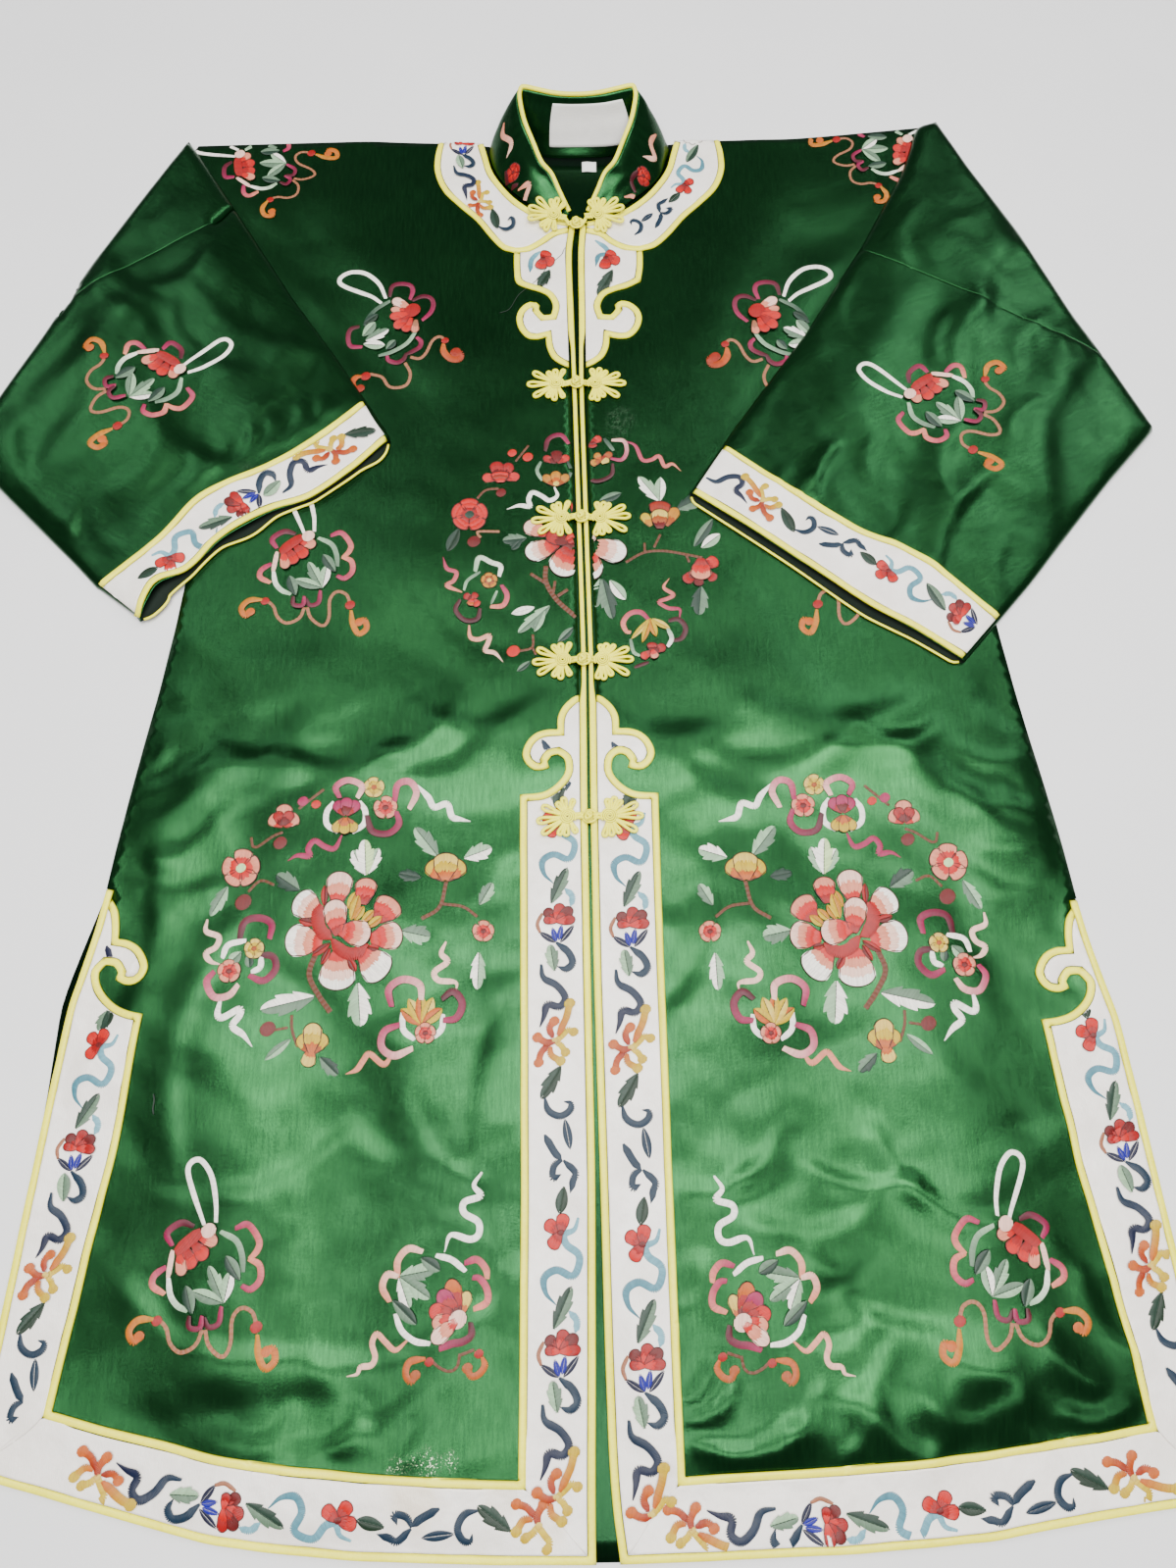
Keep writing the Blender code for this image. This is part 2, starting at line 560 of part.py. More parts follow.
def sleeve(word, side):
    """One sleeve, folded in over the front, with its cuff."""
    lines = SLEEVES[word]
    lip = offset(lines["mouth"], side * UNDER_LIP)
    rim = lines["fold"][:-1] + lines["underarm"][:-1] + lip + lines["inner"][1:-1]
    rim = split(rim + rim[:1])[:-1]
    soft = [lines["underarm"], lines["inner"]]
    body = front_outline(side, word)

    def rest(x, y):
        """Height of what the sleeve lies on: the front, or past it the table."""
        away = 0.0 if inside((x, y), body) else nearest((x, y), body + body[:1])
        return SLEEVE_REST * (1.0 - smooth((away - GRID) / SLEEVE_SINKS))

    def under(x, y):
        return rest(x, y) * smooth((nearest((x, y), lines["fold"]) - FOLD_LIP) / FOLD_LIP_RISE)

    def rounding(distance):
        t = 1.0 - min(distance / SLEEVE_ROUND, 1.0)
        return SLEEVE_EDGE + (1.0 - SLEEVE_EDGE) * math.sqrt(max(1.0 - t * t, 0.0))

    def over(x, y):
        from_fold = nearest((x, y), lines["fold"])
        from_edge = min(nearest((x, y), line) for line in soft)
        thick = SLEEVE_AT_FOLD + (SLEEVE_AT_CUFF - SLEEVE_AT_FOLD) * smooth(from_fold / SLEEVE_THINS_BY)
        from_rim = min(from_fold, from_edge, nearest((x, y), lines["mouth"]))
        thick += fold_height(x, y, SLEEVE_FOLDS) * smooth(from_rim / SLEEVE_FOLDS_FADE)
        base = rest(x, y)
        return min((base + thick) * rounding(from_fold), base + thick * rounding(from_edge))

    folds = [offset(trimmed(lines["fold"], FOLD_RUNS_ON), -side * inward)
             for inward in (FOLD_LIP_RISE, FOLD_LIP, SLEEVE_ROUND)]
    edges = [offset(trimmed(line, EDGE_RUNS_ON), -side * EDGE_ROW) for line in soft]
    piping_line = offset(lines["cuff"], side * PIPING_WIDTH)
    mouth_line = offset(lines["mouth"], -side * PIPING_WIDTH)
    top = Sheet(rim, [split(line) for line in folds + edges]
                + [lines["cuff"], piping_line, lines["mouth"], mouth_line, split(lines["seam"])], over)

    def upper(p):
        return side * right_of(lines["seam"], p) < 0

    top.pad(f"sleeve_top_{word}", SATIN, upper, under)
    tube = top.pad(f"sleeve_{word}", SATIN, lambda p: not upper(p), under)
    past = side * (UNDER_LIP + CUTTER_REACH)
    slot = strip(f"mouth_{word}", split(trimmed(lines["mouth"], MOUTH_CLOSED)), past,
                 -side * MOUTH_DEPTH, MOUTH_FROM, MOUTH_TO)
    step = strip(f"lip_{word}", split(trimmed(lines["mouth"], LIP_RUNS_ON)), past, 0.0,
                 MOUTH_FROM, CUTTER_TOP)
    for cutter in (slot, step):
        cut = tube.modifiers.new(cutter.name, "BOOLEAN")
        cut.operation = "DIFFERENCE"
        cut.solver = "EXACT"
        cut.object = cutter

    cuff_area = lines["cuff"] + lines["mouth"][::-1]

    def which(p):
        """The piece of the cuff that covers a point of the sleeve, or nothing."""
        if not inside(p, cuff_area) or min(nearest(p, line) for line in soft) < CUFF_FROM_EDGE:
            return None
        if nearest(p, lines["cuff"]) < ON_PIPING:
            return "piping_cuff_top"
        return "piping_cuff" if nearest(p, lines["mouth"]) < ON_PIPING else "cuff"

    top.piece(f"cuff_{word}", WHITE, lambda p: which(p) == "cuff", GAP, BAND_WALL)
    for piece in ("piping_cuff_top", "piping_cuff"):
        top.piece(f"{piece}_{word}", YELLOW, lambda p: which(p) == piece, GAP, PIPING_WALL)


sleeve("left", -1)
sleeve("right", 1)


def collar_point(station, rise):
    """A point of the collar: station -12 to 12 round the neck, rise 0 at the seam to 1 on top."""
    side = 1 if station >= 0 else -1
    at = min(abs(station), len(COLLAR) - 1.001)
    row, t = int(at), at - int(at)
    bx, by, tx, ty, tz = (a + (b - a) * t for a, b in zip(COLLAR[row], COLLAR[row + 1]))
    bow = COLLAR_BOW * math.sin(math.pi * rise) * min(1.0, tz / COLLAR_FULL)
    out_x, out_y = bx, by - NECK_MIDDLE
    reach = math.hypot(out_x, out_y)
    x = bx + (tx - bx) * rise + bow * out_x / reach
    y = by + (ty - by) * rise + bow * out_y / reach
    z = COLLAR_BASE + (tz - COLLAR_BASE) * rise + bow * BOW_UP
    return Vector((*lay(side, (x, y)), z))


def collar_strip(name, look, stations, rises, level, wall, shift):
    """A wall on the collar's surface, over a run of stations and a span of its height."""
    verts, faces = [], []
    for s in stations:
        for r in rises:
            here = collar_point(s, r)
            along = collar_point(s + NEAR, r) - collar_point(s - NEAR, r)
            up = collar_point(s, min(r + NEAR, 1.0)) - collar_point(s, max(r - NEAR, 0.0))
            verts.append(place(*(here + along.cross(up).normalized() * level)))
    wide = len(rises)
    for i in range(len(stations) - 1):
        for j in range(wide - 1):
            a = i * wide + j
            faces.append((a, a + wide, a + wide + 1, a + 1))
    mesh = bpy.data.meshes.new(name)
    mesh.from_pydata(verts, [], faces)
    made = show(name, mesh, look)
    shell = made.modifiers.new("cloth", "SOLIDIFY")
    shell.thickness = wall * MM
    shell.offset = shift
    return made


round_neck = range(1 - len(COLLAR), len(COLLAR))
collar_strip("collar", SATIN, round_neck, [i / COLLAR_ROWS * COLLAR_TOP for i in range(COLLAR_ROWS + 1)],
             0.0, COLLAR_WALL, 0.0)
collar_strip("piping_collar", YELLOW, round_neck, [PIPING_FROM, 1.0], 0.0, COLLAR_WALL, 0.0)
collar_strip("label", WOVEN, LABEL_STATIONS, LABEL_RISES, COLLAR_WALL / 2 + LABEL_GAP, LABEL_WALL, 1.0)

bpy.ops.mesh.primitive_cube_add(size=1, location=place(TAB_X, TAB_Y, CLOTH + GAP + LABEL_WALL / 2))
tab = bpy.context.object
tab.name = tab.data.name = "size_tab"
tab.scale = (TAB_WIDTH * MM, TAB_LENGTH * MM, LABEL_WALL * MM)
bpy.ops.object.transform_apply(location=False, rotation=False, scale=True)
tab.data.materials.append(WOVEN)
for group in list(tab.users_collection):
    group.objects.unlink(tab)
robe.objects.link(tab)


def flower(name, side, at, lift, tilt):
    """One half of a frog: cord petals fanned round a coil, as a scalloped disc."""
    points = PETALS * 3
    mesh = bpy.data.meshes.new(name)
    bm = bmesh.new()
    rings = []
    for coil, z in ((False, 0.0), (False, FLOWER_WALL), (True, FLOWER_WALL + COIL_RISE)):
        ring = []
        for i in range(points):
            turn = 2 * math.pi * i / points
            petal = 0.5 + 0.5 * math.cos(turn * PETALS)
            radius = COIL_RADIUS if coil else PETAL_ROOT + (PETAL_TIP - PETAL_ROOT) * petal
            ring.append(bm.verts.new((side * radius * math.cos(turn) * MM, radius * math.sin(turn) * MM,
                                      z * MM)))
        rings.append(ring)
    for lower, upper in zip(rings, rings[1:]):
        for i in range(points):
            j = (i + 1) % points
            bm.faces.new((lower[i], lower[j], upper[j], upper[i]))
    bm.faces.new(rings[0][::-1])
    bm.faces.new(rings[-1])
    bmesh.ops.recalc_face_normals(bm, faces=bm.faces)
    bm.to_mesh(mesh)
    bm.free()
    made = show(name, mesh, YELLOW)
    made.matrix_world = Matrix.Translation(place(*at, lift)) @ Matrix.Rotation(tilt, 4, "X")


def knot(name, at, lift):
    """The knotted ball between the halves, turned about its own cord."""
    mesh = bpy.data.meshes.new(name)
    profile = [(KNOT_PROFILE[0][0], 0.0), *KNOT_PROFILE, (KNOT_PROFILE[-1][0], 0.0)]
    mesh.from_pydata([(radius * MM, 0.0, -along * MM) for along, radius in profile],
                     [(i, i + 1) for i in range(len(profile) - 1)], [])
    made = show(name, mesh, YELLOW)
    turned = made.modifiers.new("turned", "SCREW")
    turned.steps = turned.render_steps = 8
    turned.use_merge_vertices = True
    turned.merge_threshold = 0.00005
    made.matrix_world = (Matrix.Translation(place(at[0], at[1], lift + KNOT_PROFILE[4][1] * KNOT_SQUASH))
                         @ Matrix.Diagonal((1, 1, KNOT_SQUASH, 1)) @ Matrix.Rotation(math.pi / 2, 4, "Y"))


for number, (x, y) in enumerate(KNOTS, 1):
    on_band = number == len(KNOTS)
    lift, tilt, rise = FRONT_TOP + GAP + (BAND_WALL + GAP if on_band else 0.0), 0.0, 0.0
    if number == 1:
        lift, tilt, rise = NECK_FROG_LIFT, NECK_FROG_TILT, NECK_FROG_RISE
    for side, word in ((-1, "left"), (1, "right")):
        flower(f"frog_{number}_{word}", side, (x + side * FLOWER_AT, y + rise), lift, tilt)
    knot(f"knot_{number}", (x, y), FRONT_REST + EDGE_PIPING_WALL + GAP)
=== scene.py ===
"""Green satin robe with white cloud bands and silk embroidery, laid flat with its sleeves folded in.

Sizes are in millimetres. x runs out from the front opening, y runs up from the hem to the collar
with 0 at the middle of the back neck, and z is the height over the table.
"""
import math
import random

import bmesh
import bpy
import numpy as np
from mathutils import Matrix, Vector
from mathutils.bvhtree import BVHTree
from mathutils.geometry import delaunay_2d_cdt


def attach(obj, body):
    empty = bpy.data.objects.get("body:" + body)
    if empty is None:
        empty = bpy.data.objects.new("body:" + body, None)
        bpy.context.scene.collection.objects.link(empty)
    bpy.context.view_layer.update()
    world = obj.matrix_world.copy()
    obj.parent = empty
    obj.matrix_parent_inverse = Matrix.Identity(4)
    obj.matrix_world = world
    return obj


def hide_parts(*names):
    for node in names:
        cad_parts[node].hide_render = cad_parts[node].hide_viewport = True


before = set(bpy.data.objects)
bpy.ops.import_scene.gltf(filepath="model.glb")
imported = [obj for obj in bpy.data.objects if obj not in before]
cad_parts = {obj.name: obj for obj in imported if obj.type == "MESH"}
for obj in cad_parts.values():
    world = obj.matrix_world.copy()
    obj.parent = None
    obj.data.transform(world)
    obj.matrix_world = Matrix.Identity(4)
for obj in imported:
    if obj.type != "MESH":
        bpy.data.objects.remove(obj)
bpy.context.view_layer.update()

# Camera, light and table: a camera held over the skirt that looks a little up the robe, three wide
# soft lights overhead, two windows past the collar, one to each side, and a pale table.
MM = 0.001
NECK = np.array((18.5, 537.5, 0.0))
CAMERA_AT, CAMERA_TURN, CAMERA_LENS = (-4.4, -814.7, 808.0), (16.0, 0.0, -0.86), 27.02
ROOM_COLOUR, ROOM_STRENGTH = (0.80, 0.84, 0.92, 1.0), 0.18
TABLE_WIDE, TABLE_DROP = 8.0, 0.0002
CLOTH_HEIGHT = 4.0


def place(x, y, z):
    """A point of the robe in metres in the frame."""
    return Vector(((x + NECK[0]) * MM, (y + NECK[1]) * MM, z * MM))


camera = bpy.data.objects.new("camera", bpy.data.cameras.new("camera"))
camera.location = place(*CAMERA_AT)
camera.rotation_euler = [math.radians(turn) for turn in CAMERA_TURN]
camera.data.sensor_width = 36.0
camera.data.lens = CAMERA_LENS
bpy.context.scene.collection.objects.link(camera)
bpy.context.scene.camera = camera

WARM, COOL = (1.0, 0.985, 0.96), (0.95, 0.98, 1.0)
LIGHTS = [
    # name, place and aim in mm, width and length in metres, watts, colour
    ("overhead", (0, -560, 2000), (0, -560, 0), 1.7, 0.65, 71.0, WARM),
    ("overhead_near", (0, -1500, 2000), (0, -900, 0), 1.9, 0.4, 37.0, WARM),
    ("overhead_far", (0, 230, 2000), (0, -400, 0), 1.5, 0.2, 10.0, WARM),
    ("window_left", (-1400, 900, 1950), (-350, -250, 0), 0.55, 0.9, 11.5, COOL),
    ("window_right", (1270, 920, 1950), (320, -250, 0), 0.7, 0.95, 22.0, COOL),
]
for name, at, aim, width, length, watts, colour in LIGHTS:
    light = bpy.data.lights.new(name, "AREA")
    light.shape = "RECTANGLE"
    light.size, light.size_y, light.energy, light.color = width, length, watts, colour
    lamp = bpy.data.objects.new(name, light)
    lamp.location = place(*at)
    lamp.rotation_euler = (place(*aim) - place(*at)).to_track_quat("-Z", "Y").to_euler()
    bpy.context.scene.collection.objects.link(lamp)

world = bpy.data.worlds.new("room")
world.use_nodes = True
background = world.node_tree.nodes["Background"]
background.inputs["Color"].default_value = ROOM_COLOUR
background.inputs["Strength"].default_value = ROOM_STRENGTH
bpy.context.scene.world = world


class Value:
    """A number on its way through a material; sums with it add the nodes they need."""

    def __init__(self, finish, socket):
        self.finish, self.socket = finish, socket

    def maths(self, operation, *values):
        node = self.finish.add("ShaderNodeMath", {"operation": operation}, dict(enumerate(values)))
        return Value(self.finish, node.outputs[0])

    def __add__(self, other):
        return self.maths("ADD", self, other)

    def __rsub__(self, other):
        return self.maths("SUBTRACT", other, self)

    def __mul__(self, other):
        return self.maths("MULTIPLY", self, other)

    def __truediv__(self, other):
        return self.maths("DIVIDE", self, other)

    def between(self, low, high):
        """0 below low, 1 over high and an even slope between."""
        node = self.finish.add("ShaderNodeMapRange", {"interpolation_type": "SMOOTHSTEP"},
                               {"Value": self, "From Min": low, "From Max": high})
        return Value(self.finish, node.outputs["Result"])


class Finish:
    """One material, with even values set on its shader and patterns added as nodes."""

    def __init__(self, name, **even):
        self.material = bpy.data.materials.new(name)
        self.material.use_nodes = True
        self.tree = self.material.node_tree
        self.shader = self.tree.nodes["Principled BSDF"]
        for key, value in even.items():
            self.shader.inputs[key.replace("_", " ")].default_value = value

    def add(self, kind, settings=None, values=None):
        node = self.tree.nodes.new(kind)
        for key, value in (settings or {}).items():
            setattr(node, key, value)
        for key, value in (values or {}).items():
            socket = node.inputs[key]
            if isinstance(value, Value):
                value = value.socket
            if isinstance(value, bpy.types.NodeSocket):
                self.tree.links.new(value, socket)
            elif hasattr(socket.default_value, "__len__") and len(socket.default_value) == 4:
                socket.default_value = (*value, 1.0) if len(value) == 3 else value
            else:
                socket.default_value = value
        return node

    def where(self):
        """The point of the robe, in metres in the frame."""
        return self.add("ShaderNodeTexCoord").outputs["Object"]

    def noise(self, vector, scale, detail=2.0, roughness=0.5, stretch=None):
        if stretch:
            vector = self.add("ShaderNodeVectorMath", {"operation": "MULTIPLY"},
                              {0: vector, 1: stretch}).outputs["Vector"]
        node = self.add("ShaderNodeTexNoise", {"noise_dimensions": "3D"},
                        {"Vector": vector, "Scale": scale, "Detail": detail, "Roughness": roughness})
        return Value(self, node.outputs["Fac"])

    def near(self, x, y, reach):
        """1 at a place of the robe and 0 from a reach in mm on, with an uneven edge."""
        away = self.add("ShaderNodeVectorMath", {"operation": "DISTANCE"},
                        {0: self.where(), 1: place(x, y, CLOTH_HEIGHT)})
        rough = self.noise(self.where(), 130.0, 3.0) * 0.8 + 0.6
        return 1.0 - (Value(self, away.outputs["Value"]) * rough / (reach * MM)).between(0.35, 1.0)

    def mix(self, share, low, high):
        """A colour between two, by a share from 0 to 1."""
        node = self.add("ShaderNodeMix", {"data_type": "RGBA"}, {0: share, 6: low, 7: high})
        return node.outputs[2]

    def feed(self, **sockets):
        for key, value in sockets.items():
            value = value.socket if isinstance(value, Value) else value
            self.tree.links.new(value, self.shader.inputs[key.replace("_", " ")])

    def relief(self, height, distance, strength=1.0):
        """Raises the surface by a pattern, up to a distance in metres."""
        node = self.add("ShaderNodeBump", None,
                        {"Height": height, "Distance": distance, "Strength": strength})
        self.feed(Normal=node.outputs["Normal"])


table_top = Finish("pale_table", Roughness=0.62)
where = table_top.where()
greys = table_top.mix(table_top.noise(where, 9.0, 3.0), (0.72, 0.72, 0.73), (0.77, 0.77, 0.775))
table_top.feed(Base_Color=greys)
table_top.relief(table_top.noise(where, 700.0, 2.0), 0.0002, 0.4)
bpy.ops.mesh.primitive_plane_add(size=TABLE_WIDE, location=(0, 0, -TABLE_DROP))
table = bpy.context.object
table.name = "table"
table.data.materials.append(table_top.material)

# Back: one flat width of satin with its lining, cut in one with the backs of the upper sleeves.
# It lies face down on the table and shows inside the neck, down the open front and at the slit.
NET_BACK = 14.0
BACK_STEP, BACK_TOP, BACK_WALL = 12.0, 1.4, 1.2
AT_A_TIME = 2000


def solid_of(*nodes):
    """Points, in mm from the back neck, and triangles of some nodes of the frame."""
    bm = bmesh.new()
    for node in nodes:
        bm.from_mesh(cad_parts[node].data)
    bmesh.ops.remove_doubles(bm, verts=bm.verts, dist=0.00001)
    bmesh.ops.triangulate(bm, faces=bm.faces)
    points = np.array([v.co for v in bm.verts]) / MM - NECK
    faces = np.array([[v.index for v in face.verts] for face in bm.faces])
    bm.free()
    return points, faces


def rims(points, faces, steep=0.5):
    """Rims of the patches that look up, as rings of points; the widest patch first."""
    a, b, c = (points[faces[:, k]] for k in range(3))
    normals = np.cross(b - a, c - a)
    normals /= np.maximum(np.linalg.norm(normals, axis=1, keepdims=True), 1e-12)
    chosen = faces[normals[:, 2] > steep]
    directed = {(i, j) for face in chosen.tolist() for i, j in zip(face, face[1:] + face[:1])}
    after = {i: j for i, j in directed if (j, i) not in directed}
    rings = []
    while after:
        start, here = next(iter(after.items()))
        ring = [start]
        del after[start]
        while here in after:
            ring.append(here)
            here = after.pop(here)
        rings.append(points[ring])
    return sorted(rings, key=lambda ring: -area(ring))


def rim_of(node):
    """The rim of a node's whole top, with its rounded edge."""
    return rims(*solid_of(node), steep=0.08)[0]


def area(ring):
    """The area inside a ring, seen from above."""
    x, y = ring[:, 0], ring[:, 1]
    return 0.5 * float(np.sum(x * np.roll(y, -1) - y * np.roll(x, -1)))


def rounded(ring, step, corner=52.0, shortest=1.2):
    """The ring with soft bends between its corners, which turn more than so many degrees."""
    keep = [0]
    for i in range(1, len(ring)):
        if np.hypot(*(ring[i] - ring[keep[-1]])[:2]) > shortest:
            keep.append(i)
    if np.hypot(*(ring[keep[-1]] - ring[0])[:2]) < shortest:
        keep.pop()
    points = ring[keep][:, :2]
    ahead = np.roll(points, -1, 0) - points
    behind = points - np.roll(points, 1, 0)
    long_ahead, long_behind = (np.linalg.norm(v, axis=1, keepdims=True) for v in (ahead, behind))
    cosine = np.sum(ahead * behind, 1) / (long_ahead * long_behind)[:, 0]
    turn = np.degrees(np.arccos(np.clip(cosine, -1, 1)))
    tangent = (ahead + behind) / (long_ahead + long_behind)
    out = []
    for i in range(len(points)):
        j = (i + 1) % len(points)
        chord = float(long_ahead[i, 0])
        leave = ahead[i] if turn[i] > corner else tangent[i] * chord
        reach = ahead[i] if turn[j] > corner else tangent[j] * chord
        count = max(1, round(chord / step))
        for t in np.arange(count) / count:
            out.append((2 * t ** 3 - 3 * t ** 2 + 1) * points[i] + (t ** 3 - 2 * t ** 2 + t) * leave
                       + (3 * t ** 2 - 2 * t ** 3) * points[j] + (t ** 3 - t ** 2) * reach)
    return np.array(out)


def inside(points, ring):
    """Which points lie within a ring, seen from above."""
    out = np.zeros(len(points), bool)
    a, b = ring[:, :2], np.roll(ring[:, :2], -1, 0)
    rise = np.where(b[:, 1] == a[:, 1], 1e-9, b[:, 1] - a[:, 1])
    for first in range(0, len(points), AT_A_TIME):
        x, y = (points[first:first + AT_A_TIME, k][:, None] for k in (0, 1))
        crosses = (a[:, 1] > y) != (b[:, 1] > y)
        at = a[:, 0] + (y - a[:, 1]) * (b[:, 0] - a[:, 0]) / rise
        out[first:first + AT_A_TIME] = (crosses & (x < at)).sum(1) % 2 == 1
    return out


def runs_of(line, closed=True):
    """The straight runs of a line or ring, as their starts and their ends."""
    line = np.asarray(line, float)[:, :2]
    return (line, np.roll(line, -1, 0)) if closed else (line[:-1], line[1:])


def away_from(points, runs):
    """Distance of each point from the nearest of some runs, seen from above."""
    a, b = runs
    along = b - a
    span = np.maximum((along ** 2).sum(1), 1e-12)
    out = np.empty(len(points))
    for first in range(0, len(points), AT_A_TIME):
        p = points[first:first + AT_A_TIME, None, :2] - a
        t = np.clip((p * along).sum(2) / span, 0, 1)
        out[first:first + AT_A_TIME] = np.sqrt(((p - t[..., None] * along) ** 2).sum(2).min(1))
    return out


def left_of(ways):
    """Ways turned a quarter to the left."""
    return np.stack((-ways[..., 1], ways[..., 0]), -1)


def cut_out(ring, net, rows=()):
    """Cuts the inside of a ring into triangles: rows near its rim, then an even net."""
    (low_x, low_y), (high_x, high_y) = ring[:, :2].min(0), ring[:, :2].max(0)
    ys = np.arange(low_y, high_y, net * math.sqrt(3) / 2)
    grid = np.array([(x + (net / 2 if row % 2 else 0), y) for row, y in enumerate(ys)
                     for x in np.arange(low_x, high_x, net)]).reshape(-1, 2)
    grid = grid[inside(grid, ring)]
    rim = runs_of(ring)
    filled = [grid[away_from(grid, rim) > (rows[-1] if rows else 0) + 0.55 * net]]
    before, after = np.roll(ring, 1, 0)[:, :2], np.roll(ring, -1, 0)[:, :2]
    along = (after - before) / np.maximum(np.linalg.norm(after - before, axis=1, keepdims=True), 1e-9)
    for row in rows:
        moved = ring[:, :2] + row * left_of(along)
        moved = moved[inside(moved, ring)]
        filled.append(moved[away_from(moved, rim) > 0.95 * row])
    points = np.vstack([ring[:, :2], *filled])
    count = len(ring)
    edges = [(i, (i + 1) % count) for i in range(count)]
    flat, _, faces, _, _, _ = delaunay_2d_cdt([Vector(p) for p in points], edges, [], 0, 0.02)
    flat = np.array([(p.x, p.y) for p in flat])
    faces = np.array([face for face in faces if len(face) == 3])
    return flat, faces[inside(flat[faces].mean(1), ring)]


def make(name, points, faces, look, weave=0.0, maps=None):
    """A soft-shaded object from points in mm; its map runs along x and y, turned by an angle."""
    mesh = bpy.data.meshes.new(name)
    mesh.from_pydata([place(*p) for p in points], [], [tuple(face) for face in faces])
    mesh.materials.append(look)
    turn = math.radians(weave)
    layer = mesh.uv_layers.new(name="weave")
    corners = np.empty(len(mesh.loops), np.int32)
    mesh.loops.foreach_get("vertex_index", corners)
    x, y = np.asarray(maps if maps is not None else points)[corners, :2].T * MM
    u = x * math.cos(turn) + y * math.sin(turn)
    v = y * math.cos(turn) - x * math.sin(turn)
    layer.data.foreach_set("uv", np.stack((u, v), 1).ravel().astype(np.float32))
    mesh.shade_smooth()
    made = bpy.data.objects.new(name, mesh)
    bpy.context.scene.collection.objects.link(made)
    return made


def wear(made, slot, *nodes):
    """The piece rides on the robe in place of some nodes; its slot is not used."""
    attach(made, "root")
    if nodes:
        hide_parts(*nodes)


def thicken(made, wall, offset=-1.0):
    """Gives a sheet its wall, below its points."""
    cloth = made.modifiers.new("cloth", "SOLIDIFY")
    cloth.thickness = wall * MM
    cloth.offset = offset
    return made


# worn places: x, y, reach
RUBBED = [(-106, -1014, 13), (-122, -1016, 10), (-90, -1012, 8)]
FADED = [(28, -290, 16), (-258, -330, 12)]


def green_satin(name, deep, bright):
    """Silk satin: long smooth floats along its length, so that its shine spreads across them."""
    satin = Finish(name, Metallic=0.85, Roughness=0.22, Specular_IOR_Level=0.3)
    at = satin.where()
    weave = satin.add("ShaderNodeUVMap", {"uv_map": "weave"}).outputs["UV"]
    broad, fine = satin.noise(at, 7.0, 3.0), satin.noise(weave, 60.0, 3.0, 0.6, stretch=(9.0, 1.0, 1.0))
    shade = broad * 0.5 + fine * 0.5
    colour = satin.mix(shade.between(0.3, 0.7), deep, bright)
    specks = satin.noise(at, 900.0, 2.0).between(0.56, 0.68)
    lace = satin.noise(at, 330.0, 4.0, 0.7).between(0.42, 0.60)
    for x, y, reach in RUBBED:
        colour = satin.mix(satin.near(x, y, reach) * specks * 0.8, colour, (0.30, 0.36, 0.24))
    for x, y, reach in FADED:
        colour = satin.mix(satin.near(x, y, reach) * lace * 0.16, colour, (0.22, 0.36, 0.22))
    satin.feed(Base_Color=colour)
    floats = satin.noise(weave, 520.0, 3.0, 0.7, stretch=(4.0, 1.0, 1.0))
    crush = satin.noise(at, 110.0, 3.0, 0.55)
    satin.relief(floats * 0.65 + crush * 0.35, 0.0005, 0.42)
    return satin.material


GREEN = green_satin("green_satin", (0.0048, 0.034, 0.0098), (0.0104, 0.064, 0.0185))
# A darker copy of the green satin for the back: partly the lining's own cloth, partly painted shade for the
# neck, the gap down the front and the slit where it shows.
SHADED_LINING = green_satin("green_lining_painted_shade", (0.003, 0.022, 0.007), (0.006, 0.038, 0.012))

back_solid = solid_of("back_panel")
back_rim = rims(*back_solid)[0]
flat, faces = cut_out(rounded(back_rim, BACK_STEP), NET_BACK)
back = make("back", np.column_stack((flat, np.full(len(flat), BACK_TOP))), faces, SHADED_LINING)
thicken(back, BACK_WALL)
wear(back, "green_satin", "back_panel")
width, length = (back_rim.max(0) - back_rim.min(0))[:2] * MM
area(back_rim) * MM * MM

